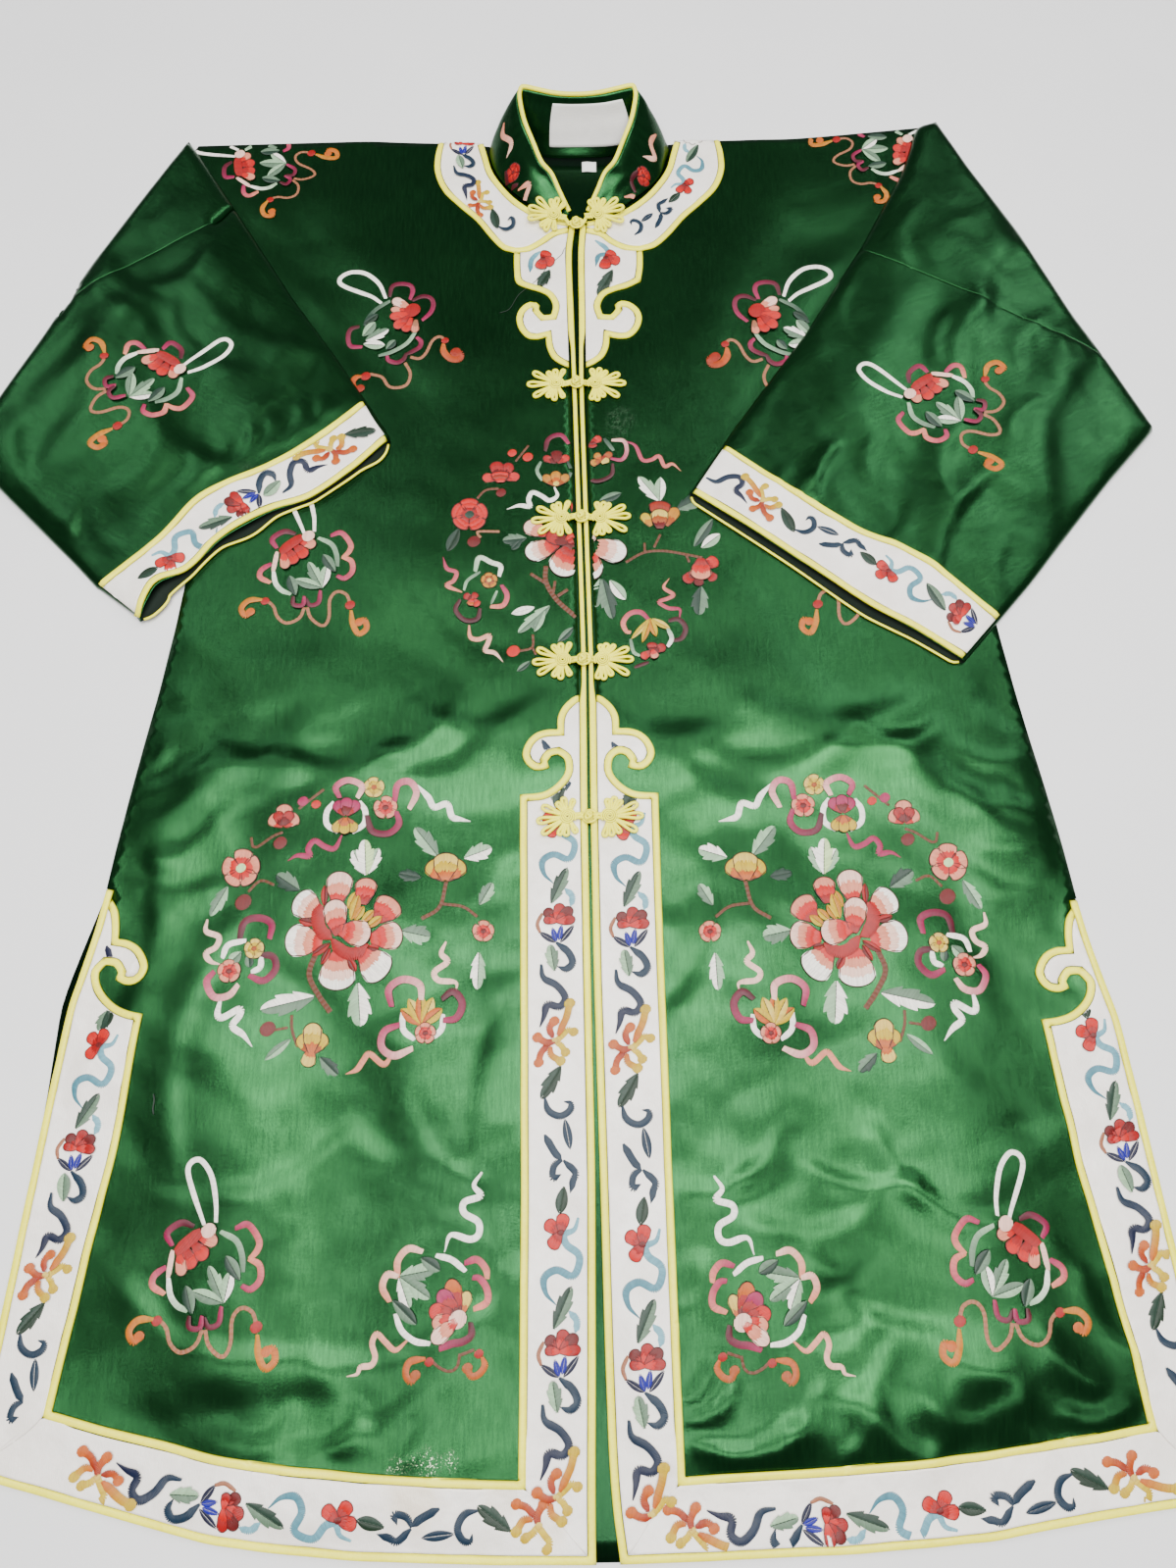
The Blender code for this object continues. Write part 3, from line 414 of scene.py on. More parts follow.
# Fronts: two lengths of the same satin, cut in one with the fronts of the upper sleeves, that lie
# on the back. The cloth rises in long soft folds, broken by small creases from storage.
NET_FRONT, FRONT_STEP, FRONT_WALL, FOLD_BLUR = 5.0, 5.0, 1.0, 7
LIE_CLEAR = 16.0
CHEST_CALM, SKIRT_FROM, SKIRT_FULL = 0.35, -430.0, 150.0
CREASE_DEPTH, CREASE_BOW, CREASE_FADE, CREASE_LEAN = 1.25, 0.12, 1.6, 0.45
FRONT_CREASES = {
    # x, y to x, y, half width, height
    "left": [
        (-314, -586, -260, -556, 12, 1.8), (-259, -570, -212, -548, 14, 2),
        (-211, -568, -140, -560, 13, 2), (-141, -558, -107, -539, 12, 1.8),
        (-127, -580, -71, -550, 12, 1.7), (-99, -539, -50, -531, 11, 1.3),
        (-133, -536, -126, -539, 3, 0.8), (-207, -559, -201, -564, 3, 0.8),
        (-325, -607, -285, -595, 12, 1.4), (-300, -635, -263, -613, 10, 1.2),
        (-314, -654, -269, -658, 9, 1.2), (-210, -596, -194, -588, 6, 0.9),
        (-294, -470, -216, -487, 16, 1.8), (-295, -516, -319, -536, 8, 1),
        (-322, -569, -305, -551, 5, 1.1), (-330, -770, -300, -640, 12, 1.4),
        (-250, -690, -275, -830, 11, 1.2), (-75, -760, -62, -900, 10, 1.3),
        (-270, -860, -170, -830, 12, 1.3), (-285, -930, -200, -955, 13, 1.6),
        (-170, -960, -70, -930, 12, 1.5), (-190, -870, -150, -990, 10, 1.1),
        (-120, -810, -80, -850, 8, 1), (-230, -1000, -120, -985, 9, 1.1), (-120, -455, -60, -490, 10, 1),
        (-250, -240, -190, -330, 14, 1), (-200, -120, -110, -140, 16, 1.2),
        (-140, -60, -120, -190, 12, 0.8), (-290, -520, -250, -560, 9, 1.1),
        (-60, -640, -80, -720, 9, 1.1), (-160, -1002, -150, -985, 4, 0.9),
        (-205, -1000, -190, -985, 4, 0.8), (-120, -1010, -105, -990, 4, 0.8),
    ],
    "right": [
        (132, -533, 226, -532, 16, 2.2), (14, -531, 77, -549, 14, 1.7), (120, -572, 177, -556, 10, 1.1),
        (177, -558, 248, -544, 7, 1.1), (194, -544, 235, -555, 6, 0.9), (267, -562, 299, -570, 5, 0.8),
        (240, -579, 304, -608, 14, 2), (274, -608, 302, -627, 9, 1.3), (296, -599, 317, -613, 7, 1),
        (279, -520, 310, -553, 10, 1.2), (311, -570, 321, -599, 6, 0.9), (69, -574, 110, -596, 12, 1.2),
        (282, -636, 322, -627, 9, 1.3), (273, -659, 297, -668, 8, 1), (59, -990, 81, -977, 4, 1.6),
        (64, -1006, 114, -997, 5, 1.9), (80, -1013, 119, -1000, 5, 1.5), (111, -1010, 134, -981, 6, 1.3),
        (158, -981, 177, -961, 7, 1.4), (138, -954, 169, -944, 7, 1.2), (173, -992, 194, -1013, 6, 1.2),
        (206, -1010, 207, -992, 6, 1.5), (260, -985, 267, -1007, 7, 1.6), (279, -947, 304, -975, 4, 1.1),
        (285, -945, 310, -973, 3, 0.8), (308, -920, 336, -957, 6, 1.2), (143, -847, 203, -854, 6, 1.3),
        (208, -859, 257, -881, 7, 1.4), (186, -829, 208, -861, 7, 1.3), (112, -885, 166, -880, 14, 1.8),
        (162, -929, 201, -944, 8, 1.1), (219, -955, 242, -966, 6, 1), (292, -897, 318, -914, 7, 1.1),
        (65, -859, 96, -850, 6, 1), (58, -927, 65, -903, 5, 0.9), (223, -996, 245, -990, 6, 0.9),
        (156, -1009, 165, -990, 5, 1), (290, -992, 326, -987, 4, 1.4), (54, -980, 66, -967, 4, 1.1),
        (96, -850, 115, -832, 7, 1), (138, -899, 155, -910, 5, 0.9), (130, -120, 220, -150, 16, 1.1),
        (110, -210, 140, -290, 13, 0.8), (60, -740, 90, -640, 9, 1.1), (120, -440, 200, -470, 13, 1.3),
    ],
}


def smooth(t):
    """A soft step from 0 to 1."""
    t = np.clip(t, 0.0, 1.0)
    return t * t * (3.0 - 2.0 * t)


def waves(xy, scale, seed, turn=0.0, stretch=1.0):
    """Soft random hills from -1 to 1, of a size in mm, drawn out along a turned direction."""
    wide = 128
    lattice = np.random.default_rng(seed).uniform(-1, 1, (wide, wide))
    c, s = math.cos(math.radians(turn)), math.sin(math.radians(turn))
    x = (xy[:, 0] * c + xy[:, 1] * s) / (scale * stretch)
    y = (xy[:, 1] * c - xy[:, 0] * s) / scale
    i, j = np.floor(x).astype(int), np.floor(y).astype(int)
    u, v = smooth(x - i), smooth(y - j)
    corner = [lattice[(i + a) % wide, (j + b) % wide] for a, b in ((0, 0), (1, 0), (0, 1), (1, 1))]
    return (corner[0] * (1 - u) + corner[1] * u) * (1 - v) + (corner[2] * (1 - u) + corner[3] * u) * v


def creases(xy, rows):
    """Height that creases add: each is steeper on one side and fades at both of its ends."""
    total = np.zeros(len(xy))
    for x0, y0, x1, y1, half, height in rows:
        dx, dy = x1 - x0, y1 - y0
        long = math.hypot(dx, dy)
        along = ((xy[:, 0] - x0) * dx + (xy[:, 1] - y0) * dy) / long
        side = ((xy[:, 1] - y0) * dx - (xy[:, 0] - x0) * dy) / long
        side = side + CREASE_BOW * long * np.sin(along / long * math.pi)
        past = np.maximum(np.maximum(-along, along - long), 0.0)
        body = np.exp(-(side / half * (1.0 + CREASE_LEAN * np.sign(side))) ** 2)
        total += height * body * np.exp(-(past / (CREASE_FADE * half)) ** 2)
    return total


class Relief:
    """Height of a solid's top or underside, read on an even net, softened, and run on past its rim."""

    def __init__(self, points, faces, keep=None, blur=0, up=1):
        tree = BVHTree.FromPolygons([Vector(p) for p in points], faces.tolist())
        cell = self.cell = 4.0
        self.low = points[:, :2].min(0) - 3 * cell
        count = np.ceil((points[:, :2].max(0) + 3 * cell - self.low) / cell).astype(int) + 1
        i, j = np.meshgrid(np.arange(count[0]), np.arange(count[1]), indexing="ij")
        at = np.stack((i.ravel(), j.ravel()), 1) * cell + self.low
        kept = keep(at) if keep else np.ones(len(at), bool)
        heights, known = np.zeros(len(at)), np.zeros(len(at))
        for index in np.flatnonzero(kept):
            hit = tree.ray_cast(Vector((*at[index], 300.0 * up)), Vector((0, 0, -up)))[0]
            if hit is not None:
                heights[index], known[index] = hit.z, 1.0
        heights, known = heights.reshape(count), known.reshape(count)
        for _ in range(blur):
            heights, known = self.spread(heights), self.spread(known)
        heights /= np.maximum(known, 1e-9)
        known = (known > 1e-9).astype(float)
        while known.min() < 1:
            near = self.spread(known)
            heights = np.where(known < 1, self.spread(heights * known) / np.maximum(near, 1e-9), heights)
            known = (near > 1e-9).astype(float)
        self.heights = heights

    @staticmethod
    def spread(grid):
        """Each cell's mean with the eight round it."""
        padded = np.pad(grid, 1, mode="edge")
        return sum(padded[a:a + grid.shape[0], b:b + grid.shape[1]] for a in range(3) for b in range(3)) / 9

    def __call__(self, xy):
        at = (xy[:, :2] - self.low) / self.cell
        i = np.clip(np.floor(at).astype(int), 0, np.array(self.heights.shape) - 2)
        u, v = np.clip(at - i, 0, 1).T
        h, (i, j) = self.heights, i.T
        return ((h[i, j] * (1 - u) + h[i + 1, j] * u) * (1 - v)
                + (h[i, j + 1] * (1 - u) + h[i + 1, j + 1] * u) * v)


shadow = [rim_of(f"{part}_{side}") for side in ("left", "right") for part in ("sleeve", "sleeve_top")]
cloths = {}


def front_height(side, relief, ring):
    """Height of one front at points seen from above: folds of the solid, creases and small waves."""
    def height(xy):
        free = smooth(away_from(xy, runs_of(ring)) / LIE_CLEAR)
        for covered in shadow:
            free *= np.where(inside(xy, covered), 0.0, smooth(away_from(xy, runs_of(covered)) / LIE_CLEAR))
        lower = CHEST_CALM + (1 - CHEST_CALM) * smooth((SKIRT_FROM - xy[:, 1]) / SKIRT_FULL)
        small = (np.maximum(waves(xy, 50, 11, 9, 2.6), -0.4) * 2.2
                 + np.maximum(waves(xy, 34, 3, 24, 2.4), -0.2) * 1.5 + waves(xy, 17, 5, -38, 1.8) * 0.62
                 + waves(xy, 9, 8, 10, 1.6) * 0.18)
        return relief(xy) + free * lower * (CREASE_DEPTH * creases(xy, FRONT_CREASES[side]) + small)
    return height


for side in ("left", "right"):
    solid = solid_of(f"front_{side}")
    rim = rims(*solid)[0]
    ring = rounded(rim, FRONT_STEP)
    cloths[f"front_{side}"] = front_height(side, Relief(*solid, blur=FOLD_BLUR), ring)
    flat, faces = cut_out(ring, NET_FRONT)
    height = cloths[f"front_{side}"](flat)
    front = make(f"front_{side}_satin", np.column_stack((flat, height)), faces, GREEN)
    thicken(front, FRONT_WALL)
    wear(front, "green_satin", f"front_{side}")
    width, length = (rim.max(0) - rim.min(0))[:2] * MM
    area(rim) * MM * MM

# Folded sleeves: the upper sleeve goes on in one with the body, and a seam joins the lower sleeve to
# it. Each is a flattened tube of satin, folded in over its front, so two layers lie there with
# rounded folds at the sides and an open mouth at the cuff.
NET_SLEEVE, NET_UNDER, SLEEVE_STEP, SLEEVE_WALL = 4.6, 16.0, 4.5, 0.9
SLEEVE_ROUND, SLEEVE_EDGE, SLEEVE_FREE = 8.0, 0.2, 14.0
MOUTH_NEAR, SEAM_NEAR, SEAM_DIP, SEAM_WIDE = 2.5, 1.2, 0.22, 2.2
LIP_ENDS, LIP_REACH, LIP_BACK, LIP_CLEAR, LINE_ON = 8.0, 20.0, 1.5, 1.5, 12.0
SLEEVES = {
    # mouth and seam as x, y; the way of the weave in degrees; the lower layer's lip past the mouth, at
    # least and at some shares of it with a spread and a depth; where the mouth gapes as x, y, reach,
    # lift; creases as on the fronts
    "left": dict(
        mouth=[(-330, -455), (-318, -428), (-296, -417), (-275, -393), (-236, -368), (-207, -357),
               (-179, -336), (-150, -306)],
        seam=[(-298, -104), (-411, -177)],
        weave=58.0,
        lip=(0.8, [(0.10, 0.085, 9.5), (0.455, 0.08, 5.0), (0.93, 0.055, 5.0)]),
        gapes=[(-316, -436, 26, 3.4), (-252, -380, 34, 2.4)],
        creases=[
            (-285, -331, -276, -313, 4, 1.3), (-265, -325, -256, -303, 5, 1.5),
            (-245, -313, -241, -292, 5, 1.4), (-228, -305, -219, -282, 5, 1.3),
            (-209, -293, -204, -276, 4, 1.1), (-195, -280, -187, -267, 4, 1),
            (-302, -345, -297, -322, 6, 1.3), (-330, -290, -288, -327, 14, 2.2),
            (-401, -320, -381, -222, 20, 2.4), (-440, -301, -402, -371, 13, 2.2),
            (-387, -361, -377, -406, 8, 1.4), (-368, -372, -354, -392, 6, 1.1),
            (-347, -205, -277, -248, 16, 2), (-296, -189, -232, -224, 16, 2.2),
            (-331, -166, -302, -141, 12, 1.8), (-390, -128, -349, -180, 14, 2),
            (-286, -115, -268, -167, 12, 1.6), (-324, -189, -307, -223, 5, 1),
            (-254, -278, -230, -257, 10, 1.3), (-395, -154, -362, -188, 7, 1),
            (-352, -347, -328, -316, 12, 1.4),
        ]),
    "right": dict(
        mouth=[(275, -496), (242, -473), (210, -454), (161, -416), (120, -385), (80, -355)],
        seam=[(225, -136), (431, -254)],
        weave=-62.0,
        lip=(4.2, [(0.35, 0.2, 1.6)]),
        gapes=[(205, -450, 50, 1.6), (130, -392, 30, 0.8)],
        creases=[
            (193, -320, 176, -359, 4, 2), (177, -345, 165, -358, 3, 1.2), (224, -315, 217, -341, 4, 1.1),
            (283, -314, 272, -361, 9, 1.8), (306, -347, 263, -411, 8, 2.4),
            (295, -361, 279, -387, 4, 1.3), (350, -286, 327, -314, 4, 1.2),
            (317, -196, 293, -245, 9, 1.8), (346, -135, 317, -196, 15, 2.6),
            (383, -250, 348, -362, 20, 3), (354, -215, 341, -246, 6, 1.3), (369, -206, 360, -225, 5, 1.1),
            (389, -213, 379, -231, 5, 1.1), (288, -208, 278, -239, 5, 1), (270, -104, 260, -144, 7, 0.9),
            (384, -385, 359, -402, 7, 1.3), (214, -175, 206, -194, 4, 0.8), (313, -111, 333, -98, 8, 0.9),
            (155, -339, 149, -350, 3, 0.8), (232, -397, 244, -378, 6, 1), (312, -407, 307, -437, 6, 0.9),
            (123, -315, 128, -306, 3, 0.7), (421, -320, 401, -348, 8, 1.4),
        ]),
}


def lip(side, points):
    """How far the lower layer of a cuff reaches past the upper one, along its mouth."""
    first, last = np.array(SLEEVES[side]["mouth"], float)[[0, -1]]
    wide = np.linalg.norm(last - first)
    share = np.linalg.norm(points[:, :2] - first, axis=1) / wide
    least, opens = SLEEVES[side]["lip"]
    reach = least + sum(depth * np.exp(-((share - at) / spread) ** 2) for at, spread, depth in opens)
    return reach * smooth(np.minimum(share, 1.0 - share) * wide / LIP_ENDS)


def run_of(line):
    """How far along a line each of its points lies."""
    return np.append(0, np.cumsum(np.linalg.norm(np.diff(line, axis=0), axis=1)))


def read_at(at, run, values):
    """What each point of a line holds, x and y, read at some runs along it."""
    return np.stack([np.interp(at, run, values[:, k]) for k in (0, 1)], 1)


def ahead_of(line):
    """The way ahead at each point of a line."""
    ahead = np.gradient(line, axis=0)
    return ahead / np.maximum(np.linalg.norm(ahead, axis=1, keepdims=True), 1e-9)


def mouth_line(side, trim=0.0):
    """The line of a sleeve's mouth as close points, and the way out of the sleeve from each."""
    line = np.array(SLEEVES[side]["mouth"], float)
    run = run_of(line)
    line = read_at(np.linspace(trim, run[-1] - trim, 80), run, line)
    for _ in range(3):
        line[1:-1] = (line[:-2] + line[1:-1] * 2 + line[2:]) / 4
    return line, left_of(ahead_of(line)) * (-1 if side == "left" else 1)


def up_to_mouth(side, ring):
    """The ring of a sleeve's upper layer, which ends at its mouth: the part's ring takes in its lip."""
    line, out = mouth_line(side)
    ends = [line[k] + (line[k] - line[j]) * LINE_ON for k, j in ((0, 2), (-1, -3))]
    longer, ways = np.vstack((ends[0], line, ends[1])), np.vstack((out[0], out, out[-1]))
    nearest = np.linalg.norm(ring[:, None] - longer[None], axis=2).argmin(1)
    off = ring - longer[nearest]
    past = ((off * ways[nearest]).sum(1) > -LIP_BACK) & (np.linalg.norm(off, axis=1) < LIP_REACH)
    if not past.any():
        return ring
    at = np.flatnonzero(past)
    gaps = np.diff(np.append(at, at[0] + len(ring)))
    kept = ring[(at[gaps.argmax()] + 1 + np.arange(gaps.max() - 1)) % len(ring)]
    to_end = np.minimum(*(np.linalg.norm(line - end, axis=1) for end in (kept[0], kept[-1])))
    line = line[to_end > LIP_CLEAR]
    if np.linalg.norm(line[0] - kept[-1]) > np.linalg.norm(line[-1] - kept[-1]):
        line = line[::-1]
    return np.vstack((kept, line))


def sleeve_heights(side, rings):
    """Heights of one folded sleeve: its upper layer, and its underside."""
    sleeve = SLEEVES[side]
    mouth, seam = runs_of(sleeve["mouth"], False), runs_of(sleeve["seam"], False)
    starts, ends = (np.vstack(part) for part in zip(*(runs_of(ring) for ring in rings)))
    middles = (starts + ends) / 2
    folded = (away_from(middles, mouth) > MOUTH_NEAR) & (away_from(middles, seam) > SEAM_NEAR)
    soft = starts[folded], ends[folded]
    solid = solid_of(f"sleeve_{side}", f"sleeve_top_{side}")

    def keep(xy):
        within = np.any([inside(xy, ring) for ring in rings], axis=0)
        return within & (away_from(xy, soft) > SLEEVE_ROUND + 1.0)

    upper, lower = Relief(*solid, keep=keep, blur=3), Relief(*solid, up=-1)

    def top(xy):
        away = away_from(xy, soft)
        rise = SLEEVE_EDGE + (1 - SLEEVE_EDGE) * np.sqrt(1 - (1 - np.clip(away / SLEEVE_ROUND, 0, 1)) ** 2)
        free = smooth((away - SLEEVE_ROUND / 2) / SLEEVE_FREE)
        gape = sum(lift * np.exp(-((xy[:, 0] - x) ** 2 + (xy[:, 1] - y) ** 2) / reach ** 2)
                   for x, y, reach, lift in sleeve["gapes"])
        turn = sleeve["weave"]
        small = (np.maximum(waves(xy, 26, 13, turn, 2.2), -0.3) * 0.9 + waves(xy, 13, 15, turn, 2.0) * 0.40
                 + waves(xy, 7, 18, turn + 40, 1.6) * 0.16)
        sewn = SEAM_DIP * np.exp(-(away_from(xy, seam) / SEAM_WIDE) ** 2)
        body = upper(xy) - lower(xy) + free * (creases(xy, sleeve["creases"]) + small) - sewn
        return lower(xy) + body * rise + gape * smooth(away / 10.0)

    return top, lower, mouth, soft


# Near-black matte for the whole lower layer of each folded sleeve: painted shade for the dark gap at the
# cuff's mouth, though that layer is the same green satin as the top.
SLEEVE_MOUTH_SHADE = Finish("sleeve_inside", Base_Color=(0.002, 0.008, 0.004, 1.0), Roughness=0.75,
                Specular_IOR_Level=0.2).material
sleeve_tops = {}
for side in ("left", "right"):
    nodes = f"sleeve_top_{side}", f"sleeve_{side}"
    rings = [up_to_mouth(side, rounded(rim_of(node), SLEEVE_STEP)) for node in nodes]
    top, lower, mouth, soft = sleeve_heights(side, rings)
    sleeve_tops[side] = top, lower
    for node, ring in zip(nodes, rings):
        flat, faces = cut_out(ring, NET_SLEEVE, rows=(0.8, 2.2, 4.2, 6.8))
        at_mouth = away_from(ring, mouth) < MOUTH_NEAR
        under = ring.copy()
        if at_mouth.any():
            along = np.roll(ring, -1, 0) - np.roll(ring, 1, 0)
            length = np.maximum(np.linalg.norm(along, axis=1, keepdims=True), 1e-9)
            under -= left_of(along) / length * (at_mouth * lip(side, ring))[:, None]
        under_flat, under_faces = cut_out(under, NET_UNDER)
        shared = away_from(under_flat, soft) < 0.02
        under_z = np.where(shared, top(under_flat), lower(under_flat))
        points = np.vstack((np.column_stack((flat, top(flat))), np.column_stack((under_flat, under_z))))
        joined = np.vstack((faces, under_faces[:, ::-1] + len(flat)))
        folded = make(f"{node}_satin", points, joined, GREEN, SLEEVES[side]["weave"])
        # The lower layer's faces take the painted-shade matte.
        folded.data.materials.append(SLEEVE_MOUTH_SHADE)
        for face in folded.data.polygons[len(faces):]:
            face.material_index = 1
        bm = bmesh.new()
        bm.from_mesh(folded.data)
        bmesh.ops.remove_doubles(bm, verts=bm.verts, dist=0.02 * MM)
        bm.to_mesh(folded.data)
        bm.free()
        thicken(folded, SLEEVE_WALL)
        wear(folded, "green_satin", node)
        width, length = (ring.max(0) - ring.min(0)) * MM
        2 * area(ring) * MM * MM

# White bands: satin cut as a cloud collar, clouds, borders and cuffs, laid on the green and sewn
# down by the yellow piping at its edges. The stitching draws it up a little between its rows.
BAND_WALL, BAND_LIFT, BAND_PUCKER, NET_BAND, BAND_STEP = 0.7, 1.3, 0.95, 4.2, 4.0
# stains: x, y, reach, depth
STAINS = [(-112, -1032, 24, 0.32), (-60, -1034, 16, 0.2), (-30, -1052, 14, 0.25), (-290, -1040, 18, 0.18),
          (150, -1058, 18, 0.2)]


def white_satin():
    satin = Finish("white_satin", Roughness=0.32, Specular_IOR_Level=0.6)
    at = satin.where()
    shade = satin.noise(at, 22.0, 3.0) * 0.7 + satin.noise(at, 160.0, 2.0) * 0.3
    colour = satin.mix(shade.between(0.3, 0.7), (0.80, 0.745, 0.68), (0.90, 0.855, 0.80))
    for x, y, reach, depth in STAINS:
        colour = satin.mix(satin.near(x, y, reach) * depth, colour, (0.62, 0.46, 0.20))
    satin.feed(Base_Color=colour)
    floats = satin.noise(at, 300.0, 2.0, 0.6, stretch=(7.0, 1.0, 1.0))
    puckers = satin.noise(at, 120.0, 2.0, 0.5)
    satin.relief(floats * 0.25 + puckers * 0.75, 0.0012, 0.6)
    return satin.material


WHITE = white_satin()


def on_top(cloth, seed):
    """Height of what is sewn on a cloth, with the small puckers of its own."""
    def height(xy):
        small = waves(xy, 13, seed, 20, 1.5) * 0.6 + waves(xy, 6.5, seed + 1, -40, 1.5) * 0.4
        return cloth(xy) + BAND_LIFT + BAND_PUCKER * small
    return height


bands = {}
for side in ("left", "right"):
    parts = [(f"{part}_{side}", cloths[f"front_{side}"], f"front_{side}_satin")
             for part in ("yoke", "chest_cloud", "front_band", "hem_band", "side_band")]
    parts.append((f"cuff_{side}", sleeve_tops[side][0], f"sleeve_{side}_satin"))
    for seed, (node, cloth, under) in enumerate(parts):
        rim = rim_of(node)
        ring = rounded(rim, BAND_STEP)
        height = on_top(cloth, 40 + 2 * seed)
        bands[node] = ring
        flat, faces = cut_out(ring, NET_BAND, rows=(1.2,))
        band = make(f"{node}_satin", np.column_stack((flat, height(flat))), faces, WHITE, 90.0)
        thicken(band, BAND_WALL)
        wear(band, "white_satin", node)
        width, length = (rim.max(0) - rim.min(0))[:2] * MM
        span = area(rim) * MM * MM
        short = span / max(length, width)
        float(max(length, width))

# Piping: bias strips of pale yellow satin, folded over a cord and stitched down along every edge of
# the white bands, round both fronts, and at the cuffs' mouths.
PIPING_BASE, PIPING_RISE, PIPING_ROUND, PIPING_WALL, NET_PIPING = 0.5, 1.9, 1.9, 0.35, 4.0
PIPING_STEP, EDGE_BASE, SLIM_BY, SLIM_NEAR = 3.0, -0.4, 0.3, 6.0
SLIM_FROM, SLIM_TO, SLIM_FADE = -205.0, -525.0, 20.0


def yellow_satin():
    satin = Finish("yellow_piping", Roughness=0.42, Specular_IOR_Level=0.4)
    at = satin.where()
    shade = satin.noise(at, 45.0, 3.0) * 0.6 + satin.noise(at, 420.0, 2.0) * 0.4
    satin.feed(Base_Color=satin.mix(shade.between(0.3, 0.7), (0.84, 0.77, 0.016), (0.95, 0.90, 0.040)))
    satin.relief(satin.noise(at, 330.0, 2.0, 0.6), 0.0005, 0.4)
    return satin.material


YELLOW = yellow_satin()


def pipe(node, cloth, base=PIPING_BASE, slim=None):
    """A piping in place of its node, rounded across; slim draws it in to one side below the chest."""
    ring = rounded(rim_of(node), PIPING_STEP)
    if slim:
        x, y = ring.T
        inner = slim * np.where(np.abs(y - y[:, None]) < SLIM_NEAR, slim * x, -np.inf).max(1)
        free = smooth((SLIM_FROM - y) / SLIM_FADE) * smooth((y - SLIM_TO) / SLIM_FADE)
        ring[:, 0] = inner + (x - inner) * (1.0 - SLIM_BY * free)
    flat, faces = cut_out(ring, NET_PIPING, rows=(0.35, 1.0, 1.9))
    across = np.clip(away_from(flat, runs_of(ring)) / PIPING_ROUND, 0, 1)
    height = cloth(flat) + base + PIPING_RISE * np.sqrt(1 - (1 - across) ** 2)
    piping = make(f"{node}_satin", np.column_stack((flat, height)), faces, YELLOW, 45.0)
    wear(thicken(piping, PIPING_WALL), "yellow_piping", node)


for side, inwards in (("left", 1), ("right", -1)):
    for part in ("yoke", "neck", "chest", "band"):
        pipe(f"piping_{part}_{side}", cloths[f"front_{side}"])
    pipe(f"piping_edge_{side}", cloths[f"front_{side}"], EDGE_BASE, inwards)
    for part in ("cuff", "cuff_top"):
        pipe(f"piping_{part}_{side}", sleeve_tops[side][0])

# Standing collar: a stiff band of satin that stands round the back of the neck and slopes down to
# the front, with piping on its edge. The piping of the cuffs' mouths is drawn with it.
COLLAR = [
    # base x, y; top edge x, y, z; from the middle back round to the front
    (0, -37, 0, -11, 44), (22, -36.2, 16, -10.5, 45), (45, -32.5, 31, -8, 46.5), (62, -29, 40, -6, 47),
    (71, -27.5, 43.5, -6.5, 46.5), (74.5, -31, 45, -11, 44), (74, -38, 44, -19, 41), (71, -48, 41, -31, 37),
    (65.5, -58.5, 34.5, -45, 30.5), (57.5, -68, 27.5, -60, 24.5), (47, -77.5, 19.5, -66, 18),
    (34, -87.5, 13.5, -78, 12.5), (19.5, -94.5, 8.5, -88.5, 8.5), (8, -98.5, 6, -94, 6.5),
]
COLLAR_ENDS = len(COLLAR) - 1
COLLAR_HIGH, MAP_ALONG, RIPPLE_ALONG = 45.0, 8.0, 5.5
COLLAR_BASE, COLLAR_BOW, COLLAR_FULL, NECK_MIDDLE, BOW_UP = 2.8, 3.0, 40.0, -60.0, 0.4
COLLAR_TOP, PIPING_MIDDLE, COLLAR_WALL = 0.93, 0.965, 1.8
OPENING_MIDDLE, OPENING_WIDTH, OPENING_REACH = -1.5, 3.0, 100.0
SIDE_DROP, SIDE_AT = 8.0, 330.0


def bend(a, b, c, d, t):
    """What lies between b and c, at a share of the way, on a soft bend through all four."""
    return 0.5 * (2 * b + (c - a) * t + (2 * a - 5 * b + 4 * c - d) * t ** 2
                  + (3 * b - 3 * c + d - a) * t ** 3)


def collar_point(station, rise):
    """A point of the collar: station 0 at the middle back to 13 at a front end, rise 0 to 1 on top."""
    side = 1 if station >= 0 else -1
    at = min(abs(station), COLLAR_ENDS - 0.001)
    row, t = int(at), at - int(at)
    before = [-c if k in (0, 2) else c for k, c in enumerate(COLLAR[1])] if row == 0 else COLLAR[row - 1]
    rows = before, COLLAR[row], COLLAR[row + 1], COLLAR[min(row + 2, COLLAR_ENDS)]
    x0, y0, x1, y1, top = (bend(*four, t) for four in zip(*rows))
    bow = COLLAR_BOW * math.sin(math.pi * min(max(rise, 0.0), 1.0)) * min(1.0, top / COLLAR_FULL)
    reach = math.hypot(x0, y0 - NECK_MIDDLE)
    x = x0 + (x1 - x0) * rise + bow * x0 / reach
    y = y0 + (y1 - y0) * rise + bow * (y0 - NECK_MIDDLE) / reach
    z = COLLAR_BASE + (top - COLLAR_BASE) * rise + bow * BOW_UP
    near = 1.0 - float(smooth(x / OPENING_REACH))
    return np.array((side * x + near * (OPENING_MIDDLE + side * OPENING_WIDTH / 2),
                     y - side * SIDE_DROP * (x / SIDE_AT) ** 3, z))


def collar_normal(station, rise):
    """The way into the neck from a point of the collar."""
    along = collar_point(station + 0.03, rise) - collar_point(station - 0.03, rise)
    up = collar_point(station, min(rise + 0.03, 1.0)) - collar_point(station, max(rise - 0.03, 0.0))
    way = np.cross(along, up)
    return way / np.linalg.norm(way)


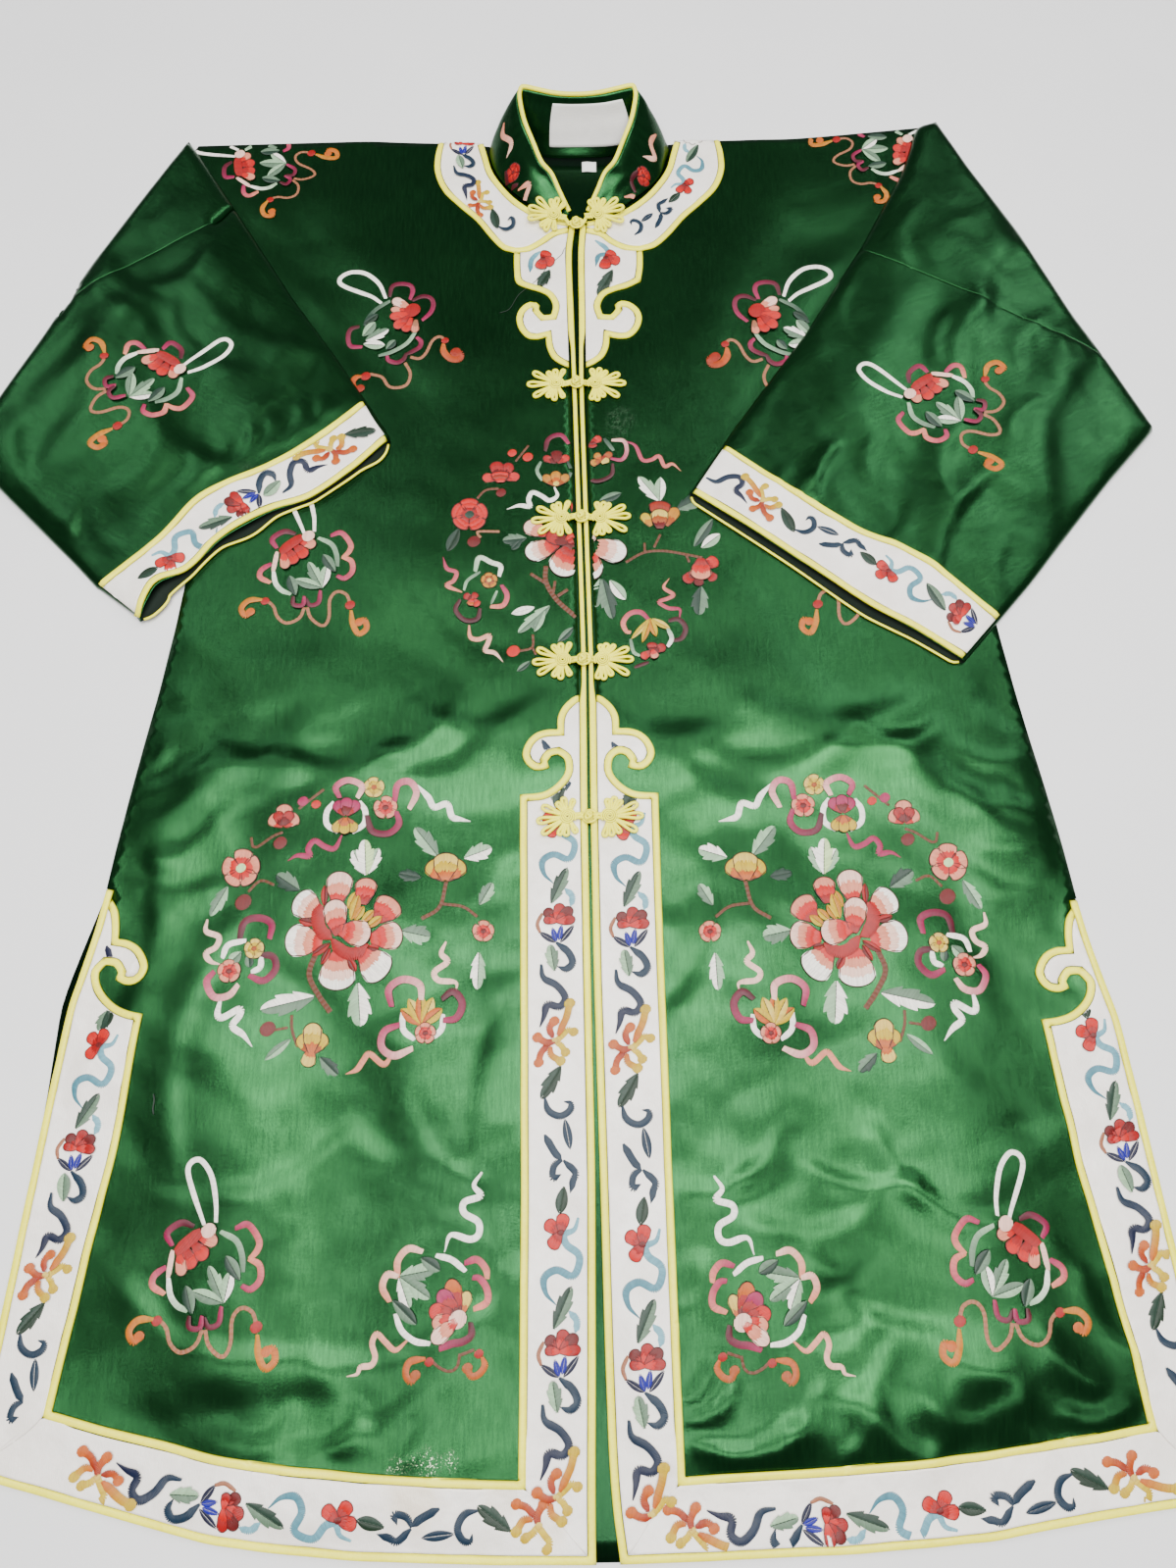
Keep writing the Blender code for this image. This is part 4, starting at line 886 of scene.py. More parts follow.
def collar_sheet(name, look, stations, rises, level, wall, ripple):
    """A wall over some stations and rises of the collar, stepped in from its middle by a level."""
    points, maps = [], []
    for station in stations:
        for rise in rises:
            spot = np.array([[station * RIPPLE_ALONG, rise * COLLAR_HIGH]])
            step = level + ripple * float(waves(spot, 9.0, 31)[0])
            points.append(collar_point(station, rise) + collar_normal(station, rise) * step)
            maps.append((station * MAP_ALONG, rise * COLLAR_HIGH))
    wide = len(rises)
    faces = [(i * wide + j, (i + 1) * wide + j, (i + 1) * wide + j + 1, i * wide + j + 1)
             for i in range(len(stations) - 1) for j in range(wide - 1)]
    return thicken(make(name, points, faces, look, 0.0, maps), wall, 0.0)


collar = collar_sheet("collar_satin", GREEN, np.linspace(-COLLAR_ENDS, COLLAR_ENDS, 209),
                      np.linspace(0, COLLAR_TOP, 22), 0.0, COLLAR_WALL, 0.8)
wear(collar, "green_satin", "collar")
seam_length = sum(np.linalg.norm(collar_point(s + 0.25, 0.5) - collar_point(s, 0.5))
                  for s in np.arange(-COLLAR_ENDS, COLLAR_ENDS, 0.25)) * MM


def tube(name, path, radius, look, sides=8, closed=False):
    """A cord along a path of points in mm; with no name, only its points and faces."""
    path = np.asarray(path, float)
    ahead = ahead_of(path)
    if closed:
        ahead = np.roll(path, -1, 0) - np.roll(path, 1, 0)
        ahead /= np.maximum(np.linalg.norm(ahead, axis=1, keepdims=True), 1e-9)
    points, faces = [], []
    for here, way in zip(path, ahead):
        side = np.cross(way, (0, 0, 1.0))
        side /= max(np.linalg.norm(side), 1e-9)
        over = np.cross(side, way)
        for k in range(sides):
            turn = 2 * math.pi * k / sides
            points.append(here + radius * (math.cos(turn) * side + math.sin(turn) * over))
    rings = len(path)
    for i in range(rings if closed else rings - 1):
        j = (i + 1) % rings
        for k in range(sides):
            m = (k + 1) % sides
            faces.append((i * sides + k, i * sides + m, j * sides + m, j * sides + k))
    if not closed:
        faces.append(tuple(range(sides))[::-1])
        faces.append(tuple((rings - 1) * sides + k for k in range(sides)))
    return make(name, points, faces, look) if name else (points, faces)


edge = [collar_point(s, PIPING_MIDDLE) for s in np.linspace(-COLLAR_ENDS, COLLAR_ENDS, 300)]
wear(tube("piping_collar_satin", edge, 1.9, YELLOW, 10), "yellow_piping", "piping_collar")

for side in ("left", "right"):
    line, out = mouth_line(side, 3.0)
    line = line + out * (lip(side, line) + 0.4)[:, None]
    path = np.column_stack((line, sleeve_tops[side][1](line) + 1.3))
    wear(tube(f"piping_mouth_{side}", path, 1.0, YELLOW, 8), "yellow_piping")

# Embroidery: flowers, charms and ribbons worked by hand in satin stitch with untwisted silk, straight
# through the cloth. Each stitch is a low ridge of thread; together they cover the drawing.
STITCH_APART, STITCH_WIDE, STITCH_HIGH, STITCH_LIFT, LAYER_LIFT = 0.85, 1.15, 0.30, 0.22, 0.28
STITCH_SUNK, TOP_LAYER, OVERHEAD, HIDDEN_BY = 0.12, 6, 200.0, 8.0
TIP_ROUND, RAGGED, STEM_STEP = 0.34, 0.17, 3.0
OUTLINED, OUTLINE, WIDE_FROM, WIDE_OUTLINE, UNDER_NEXT = 5.5, 0.5, 12, 0.75, 0.7
VEINED, VEIN_APART, VEIN_LONG, VEIN, LOBED = 7, 2.5, 2.6, 0.6, 9
THREADS = {
    "white": (240, 236, 228), "blush": (244, 205, 190), "pink": (240, 160, 138), "coral": (232, 82, 56),
    "red": (186, 16, 30), "crimson": (120, 8, 26), "maroon": (84, 14, 42), "rose": (178, 70, 104),
    "orange": (230, 128, 8), "rust": (176, 72, 10), "ochre": (192, 106, 12), "yellow": (240, 204, 60),
    "amber": (228, 160, 20), "peach": (244, 212, 132), "brown": (112, 70, 56), "tan": (168, 118, 96),
    "sage": (150, 176, 148), "grey": (98, 118, 100), "slate": (42, 60, 50), "forest": (26, 48, 32),
    "pale_green": (200, 222, 170), "pale_teal": (138, 180, 192), "dull_teal": (84, 128, 142),
    "teal": (16, 54, 74), "blue": (26, 56, 168), "navy": (12, 30, 62), "seam": (70, 26, 22),
}
STRONGER, DEEPER = 1.32, 0.42


def fan(kind, base, *tips):
    """Rows of petals or leaves that spread from one base, each with its tip, width and threads."""
    return [(kind, [base, tip], wide, names) for tip, wide, names in tips]


# Each row of a motif: what it is, its points, its width, its threads from the base to the tip.
MEDALLION = [
    ("ribbon", [(41.2, 96), (48.9, 87.6), (53.1, 80.6), (62.2, 82.7), (65.7, 73.6), (72, 71.5),
     (78.3, 70.1)], 4.5, "white"),
    ("ribbon", [(-10.6, 59.6), (-14.8, 50.5), (-21.8, 51.9), (-28.8, 56.1), (-33, 50.5), (-31.6, 44.9),
     (-40, 45.6), (-46.3, 42.1)], 4, "rose"),
    ("ribbon", [(-100.9, 2.2), (-100.9, -5.5), (-91.8, -9.7), (-93.2, -16.7), (-99.5, -20.9),
     (-96, -26.5), (-89, -28.6)], 4, "blush"),
    ("ribbon", [(-86.9, -50.3), (-88.3, -61.5), (-84.8, -64.3), (-74.3, -58.7), (-73.6, -62.9),
     (-77.8, -69.9), (-70.8, -75.5), (-64.5, -83.2)], 4.5, "white"),
    ("ribbon", [(63.6, -16), (60.8, -23.7), (65, -29.3), (56.6, -36.3), (59.4, -41.9), (70.6, -43.3),
     (71.3, -48.9)], 4, "blush"),
    ("ribbon", [(30, -89.5), (24.4, -96.5), (14.6, -89.5), (10.4, -93.7), (6.2, -99.3), (-0.8, -102.1)],
     4, "pink"),
    ("stem", [(-24.6, -22.3), (-28.8, -36.3), (-21.8, -50.3), (-13.4, -61.5)], 3.6, "brown"),
    ("stem", [(62.9, 26.7), (58.7, 8.5), (46.8, 0.1)], 2.4, "brown"),
    ("stem", [(60.8, 10.6), (74.8, 8.5), (84.6, 1.5)], 2, "brown"),
    ("stem", [(-24.6, 93.9), (-41.4, 79.2)], 1.8, "brown"),
    ("stem", [(-73.6, 59.6), (-70.8, 51.9), (-58.2, 59.6), (-51.2, 62.4)], 1.8, "brown"),
    ("stem", [(-55.4, 25.3), (-65.2, 28.8), (-73.6, 21.1)], 1.8, "brown"),
    ("stem", [(-49.8, -72.7), (-41.4, -71.3)], 1.6, "brown"),
    ("stem", [(-39.3, -62.9), (-38.6, -72.7), (-34.4, -83.9)], 2, "brown"),
    ("leaf", [(6.2, 32.3), (-2.2, 49.1)], 9, "white sage"),
    ("leaf", [(9, 32.3), (15.3, 50.5)], 9, "sage white"),
    ("leaf", [(7.6, 30.9), (5.5, 56.8)], 12, "white pale_green"),
    ("leaf", [(-37.2, 21.1), (-54, 32.3)], 12, "slate grey"),
    ("leaf", [(33.5, -8.3), (53.1, -12.5)], 13, "grey sage"),
    ("leaf", [(4.8, -42.6), (7.6, -71.3)], 16, "white sage"),
    ("leaf", [(-24.6, -51), (-60.3, -59.4)], 14, "grey white"),
    ("leaf", [(56.6, 44.9), (39.8, 65.9)], 12, "sage grey"),
    ("leaf", [(74.8, 43.5), (93.7, 50.5)], 12, "sage white"),
    ("leaf", [(45.4, 29.5), (30, 32.3)], 9, "slate slate"),
    ("leaf", [(86, -23), (85.3, -48.2)], 10, "sage white"),
    ("leaf", [(86, 9.9), (94.6, 25.3)], 9, "grey sage"),
    ("leaf", [(-88.3, 25.3), (-99.1, 5)], 9, "sage grey"),
    ("leaf", [(-39.3, -79), (-55.4, -92.3)], 6, "sage grey"),
    ("leaf", [(-19, -90.9), (-6.4, -102.8)], 9, "slate grey"),
    ("petal", [(-22.2, 4.7), (-40, 15.4)], 20, "coral pink blush white"),
    ("petal", [(-20.5, -15.2), (-45.8, -12.2)], 22, "coral pink blush white"),
    ("petal", [(-11.3, 10.6), (-9.3, 33.8)], 18, "coral pink blush"),
    ("petal", [(6.8, 10.3), (8.9, 28.9)], 15, "red coral pink"),
    ("petal", [(16.7, -1.1), (28.2, 13.5)], 20, "red coral pink"),
    ("petal", [(12.8, -13.5), (34.5, -10.4)], 19, "coral coral pink blush"),
    ("petal", [(7.2, -22.4), (23.9, -38.4)], 23, "coral pink white white"),
    ("petal", [(-9.1, -21.3), (-9.7, -47.1)], 25, "coral pink blush white"),
    ("leaf", [(-25.3, -2.7), (-36.5, 0.5)], 5.5, "red crimson"),
    ("leaf", [(-19.5, 9.8), (-19.9, 23.8)], 4.6, "red crimson"),
    ("leaf", [(-14.9, -15.7), (-26.9, -23.6)], 5.2, "red crimson"),
    ("leaf", [(-14.7, -18.7), (-20.6, -29.7)], 4.4, "red crimson"),
    ("leaf", [(-2.1, -25.7), (3.4, -34.7)], 5.2, "red crimson"),
    ("leaf", [(11.3, -18.7), (18.6, -20.2)], 5, "red crimson"),
    ("ribbon", [(-21.5, 9.9), (-23.6, 1.2), (-20.8, -7.5), (-13.6, -12.9)], 9, "red"),
    ("ribbon", [(-12.7, -13.6), (-6.1, -21), (2.9, -23.1), (11.4, -17.4)], 8.4, "red"),
    ("leaf", [(-3.5, 7.9), (1.4, 19.3)], 5.4, "yellow amber"),
    ("leaf", [(-0.7, -0.4), (3.7, 16.6)], 7, "yellow amber"),
    ("leaf", [(1.9, -0.9), (7.7, 8.7)], 5.4, "amber yellow"),
    ("leaf", [(6.6, -2.3), (14.5, 5.7)], 5.6, "yellow amber"),
    ("leaf", [(10.4, -5.8), (20.2, 1.4)], 5.8, "yellow amber"),
    ("petal", [(-9.1, -10.6), (-13, 13.8)], 16, "red coral pink blush"),
    ("petal", [(-8.9, -6.8), (13.1, -11.2)], 18, "coral coral pink blush"),
    ("petal", [(62.2, 28.1), (50.3, 40.7)], 14, "ochre orange yellow"),
    ("petal", [(62.2, 28.1), (74.1, 40.7)], 14, "ochre orange yellow"),
    ("petal", [(62.2, 27.4), (62.2, 47)], 18, "orange yellow peach"),
    ("flower", [(88.8, -8.3)], 15, "coral pink crimson"),
    ("flower", [(-79.5, 37.9)], 27, "coral pink pale_green"),
    *fan("petal", (-51.2, 67.3), ((-61, 74.3), 11, "coral pink"), ((-41.4, 74.3), 11, "coral pink"),
         ((-51.2, 82.7), 12, "coral pink"), ((-56.6, 77.1), 8, "crimson red"),
         ((-45.9, 77.1), 8, "crimson red")),
    ("dot", [(-38.6, 84.8)], 7, "rose"),
    ("dot", [(-29.5, 82.7)], 6, "coral"),
    ("dot", [(-52.6, 54.7)], 9, "crimson"),
    ("dot", [(-76.7, 14.1)], 11, "crimson"),
    ("band", [(-13.4, 62.4), (-21.1, 68), (-21.8, 77.1), (-17.6, 84.1)], 4, "white"),
    ("band", [(-2.9, 62.4), (4.5, 68.7), (4.8, 77.8), (0.6, 84.8)], 4, "white"),
    *fan("petal", (-8.5, 75), ((-16.2, 84.8), 9, "red rose"), ((-0.1, 84.8), 9, "red rose"),
         ((-8.3, 87.6), 9, "crimson rose")),
    *fan("petal", (-8.5, 72.2), ((-16.2, 62.4), 8, "ochre yellow"), ((-0.8, 62.4), 8, "ochre yellow"),
         ((-8.5, 60.3), 8, "orange yellow")),
    ("band", [(-13.4, 87.6), (-16.2, 95.3), (-7.8, 100.2), (2, 96), (-0.8, 87.6)], 4.6, "rose blush"),
    ("flower", [(10.4, 95.3)], 15, "yellow peach ochre"),
    ("flower", [(18.8, 80.6)], 17, "coral pink crimson"),
    ("band", [(6.2, 74.3), (10.4, 63.1), (21.6, 61.5), (28.6, 68.7), (26.5, 77.4)], 4.8, "maroon rose"),
    ("band", [(25.1, 85.5), (27.2, 96.7), (35.6, 98.8), (40.5, 91.1), (35.6, 79.7)], 4.8, "rose blush"),
    ("band", [(-77.8, -12.5), (-75, 0.1), (-65.2, 2.9), (-56.1, -1.3), (-56.8, -11.3)], 5, "maroon rose"),
    ("band", [(-63.8, -22.3), (-54, -23.7), (-51.9, -32.1), (-59.6, -39.8), (-69.2, -36.3)], 5,
     "maroon rose"),
    ("band", [(-93.2, -33.5), (-97.4, -40.5), (-91.8, -50.3), (-82, -49.6), (-76.4, -42.6)], 4.8,
     "rose blush"),
    ("band", [(-88.3, -23.9), (-84.8, -15.3), (-73.4, -12.5)], 4, "white"),
    ("band", [(-61.7, -24.4), (-62.4, -30.9), (-67.8, -33.7)], 4, "white"),
    ("leaf", [(-75.7, -20.2), (-82.7, -27.2)], 8, "grey sage"),
    ("leaf", [(-70.8, -21.6), (-69.4, -30.7)], 6, "slate grey"),
    ("flower", [(-66.9, -18.1)], 14, "yellow peach ochre"),
    ("flower", [(-83, -33.2)], 16, "coral pink crimson"),
    ("dot", [(-54.7, -72)], 10, "crimson"),
    ("petal", [(-24.6, -88.1), (-33, -76.2)], 11, "ochre yellow"),
    ("petal", [(-24.6, -88.1), (-16, -76.2)], 11, "ochre yellow"),
    ("petal", [(-24.6, -85.3), (-27.4, -97.2)], 10, "orange peach"),
    ("petal", [(-24.6, -88.1), (-24.6, -68.5)], 13, "orange yellow peach"),
    ("band", [(36, -63.6), (37, -74.3), (44.2, -80.8)], 4, "white"),
    ("band", [(55.2, -80.5), (62.2, -74.3), (63.1, -65)], 4, "white"),
    *fan("leaf", (49.6, -71.3), ((34.9, -60.8), 8, "orange yellow"), ((39.8, -54.2), 8, "yellow peach"),
         ((47.7, -51.7), 8, "orange yellow"), ((55.9, -53.8), 8, "yellow peach"),
         ((62.2, -61.2), 8, "orange yellow")),
    ("flower", [(51.7, -76.9)], 14, "coral pink crimson"),
    ("band", [(28.6, -58.7), (26.5, -47.5), (35.6, -41.2), (46.8, -44.7), (48.4, -54.7)], 5,
     "rose blush"),
    ("band", [(62.2, -54.5), (69.2, -49.6), (75.5, -57.3), (72, -67.1), (63.6, -68.7)], 5, "maroon rose"),
    ("band", [(34.2, -71.3), (24.4, -75.5), (23, -85.3), (31.4, -90.9), (43.3, -86.7)], 5, "rose blush"),
]
CHARM = [
    ("band", [(-2.6, 28.3), (-15.4, 59.7), (-9.3, 68), (-1, 59.7), (4.1, 43.3), (5.1, 29.9)], 3.4,
     "white"),
    ("stem", [(1, -33.5), (-2.1, -42.2), (-11.3, -46.3), (-18.5, -41.2), (-21.6, -33), (-25.8, -28.8)],
     2.2, "tan brown"),
    ("stem", [(3.1, -33.5), (6.2, -42.2), (15.4, -48.9), (19.6, -42.2), (19.6, -27.8), (24.7, -21.1),
     (31.9, -23.7), (34.5, -29.9)], 2.2, "tan brown"),
    ("band", [(18, 25.8), (25.8, 27.8), (33, 18.5), (32.4, 12.4), (27.8, 7.2)], 4.2, "rose pink"),
    ("band", [(-26.3, 2.6), (-33, -2.1), (-33.5, -8.2), (-25.8, -12.9)], 4.2, "rose pink"),
    ("band", [(-9.3, 27.3), (-17.5, 29.4), (-26.3, 23.2), (-22.7, 16)], 4.2, "maroon rose"),
    ("band", [(8.8, 23.7), (18.5, 18.5), (22.7, 10.3), (24.2, 0)], 3.8, "sage grey"),
    ("band", [(-23.7, -4.1), (-21.6, -13.4), (-16.5, -19.6), (-9.8, -22.7)], 3.8, "white sage"),
    ("band", [(27.8, 7.2), (34.5, 3.5), (35.5, -5), (30, -10.5), (24.5, -8.5)], 4.2, "pink rose"),
    ("band", [(-22.1, 12.4), (-24.2, -3.1)], 3.6, "blush"),
    ("leaf", [(13.9, -18.5), (2.1, 3.6)], 9, "grey sage"),
    ("leaf", [(13.9, -17.5), (16.5, 0.5)], 8, "sage white"),
    ("leaf", [(12.9, -18), (-7.2, -11.3)], 8, "grey sage"),
    ("leaf", [(22.7, -5.1), (12.9, 9.3)], 8, "slate grey"),
    ("leaf", [(-5.7, -24.2), (-11.3, -8.2)], 8, "slate grey"),
    ("petal", [(-5.7, 21.1), (7, 17.5)], 8.5, "coral pink"),
    ("petal", [(-8.8, 17.5), (0.5, 7.7)], 9.5, "red coral"),
    ("petal", [(-12.9, 13.9), (-8, 1.9)], 9.5, "red coral"),
    ("petal", [(-17, 11.8), (-14.4, -2.3)], 8, "coral pink"),
    ("band", [(-19.1, 11.8), (-11.3, 18.5), (-3.9, 23.7)], 7.4, "red"),
    ("dot", [(1.2, 24.7)], 9, "blush"),
    ("band", [(-7.2, -25.8), (-6.7, -31.9), (0, -32.4), (1, -25.8)], 3.4, "maroon rose"),
    ("band", [(2.1, -26.8), (5.1, -31.9), (11.3, -29.9), (12.4, -20.6)], 3.4, "maroon rose"),
    ("dot", [(-28.3, -28.3)], 6, "red"),
    ("dot", [(35, -32.4)], 7, "red"),
    ("hook", [(-30.9, -27.3), (-40.2, -27.8), (-45.3, -34), (-42.2, -40.2), (-38.6, -37.1)], 4.4,
     "amber orange"),
    ("hook", [(36, -37.1), (37.6, -47.4), (42.2, -55.6), (47.9, -51.5), (46.3, -44.8), (42.2, -46.3)],
     4.4, "amber orange"),
]
CHEST_CHARM = [
    ("band", [(-5.2, 27), (-10, 38.8), (-16.9, 46.7), (-24.8, 51.4), (-34.7, 52.2), (-42, 48.4),
     (-43.1, 43.2), (-37.4, 38.5), (-26.3, 33.2), (-16.2, 28.5), (-8.9, 22.6)], 3.6, "white"),
    ("stem", [(16, -28), (23.5, -30), (28.8, -24.5), (32.9, -14.4), (38.2, -10.1), (42.1, -12.1)], 2.2,
     "tan"),
    ("stem", [(11.8, -33), (16.4, -43), (13.4, -52.8), (3.9, -55.2), (-1.6, -52.6), (-6.1, -45.1),
     (-15.9, -41.9)], 2.2, "tan"),
    ("band", [(-2, 28.3), (-0.1, 37.3), (6.5, 39.8), (14.2, 38.4), (16.5, 33.2), (14.5, 25.4)], 3.8,
     "maroon rose"),
    ("band", [(16.8, 24.1), (24.3, 27.9), (30.9, 26.5), (33.3, 20), (31.2, 12.3), (24.9, 5.4)], 3.8,
     "maroon rose"),
    ("band", [(-26.1, 1.7), (-32.6, -0.8), (-34.4, -8.4), (-31.9, -16), (-23.3, -16.8)], 3.8,
     "maroon rose"),
    ("band", [(20.9, -10.5), (24.2, -14.3), (23.3, -19.3), (18, -23), (12.7, -25.5)], 3.8, "rose maroon"),
    ("band", [(12.7, -25.5), (10.6, -30.4), (5.3, -32.9), (-1.2, -30.3), (-2.4, -26.5)], 3.8,
     "maroon rose"),
    ("band", [(-1.8, 23.7), (-12.5, 16.8), (-18.8, 9.2), (-21.8, 2.9)], 3.4, "grey slate"),
    ("band", [(-8.9, -25.8), (1.8, -22.8), (13.5, -15.4), (20.7, -4.1)], 3.4, "grey sage"),
    ("leaf", [(-22.5, -7.3), (-13, 4.7)], 8, "sage grey"),
    ("leaf", [(-20.2, -11.7), (-1.9, -2.3)], 9, "grey white"),
    ("leaf", [(-21.5, -15.1), (-4.6, -16.7)], 8, "white sage"),
    ("leaf", [(-3.1, -20.8), (3.9, -13)], 6.5, "grey slate"),
    ("leaf", [(-21.9, 4.2), (-11, 11.7)], 6.5, "slate forest"),
    ("petal", [(20, 5.4), (18.9, -6.9)], 6.5, "tan pink"),
    ("petal", [(16.1, 7.4), (10.8, -5.5)], 8.5, "coral coral"),
    ("petal", [(14.1, 9.4), (3, -2)], 8.5, "red coral"),
    ("petal", [(14.1, 10.6), (-1.1, 8.2)], 7.5, "coral coral"),
    ("petal", [(14, 13.2), (-0.7, 16.1)], 6.5, "coral pink"),
    ("petal", [(14.5, 17.1), (0.5, 24.6)], 8.5, "pink blush"),
    ("dot", [(16.8, 13.8)], 12.5, "red"),
    ("dot", [(43.4, -14.2)], 5.5, "red"),
    ("dot", [(-19, -44.1)], 7.5, "red"),
    ("hook", [(42.2, -17.7), (42.8, -24.7), (47.8, -30.8), (54.6, -31.4), (55.8, -26.7), (52, -25.1)],
     5.6, "orange rust"),
    ("hook", [(-22.7, -44.6), (-26.4, -45.4), (-29, -49.7), (-27.1, -55.3), (-22.9, -55.4)], 4.6,
     "orange rust"),
]
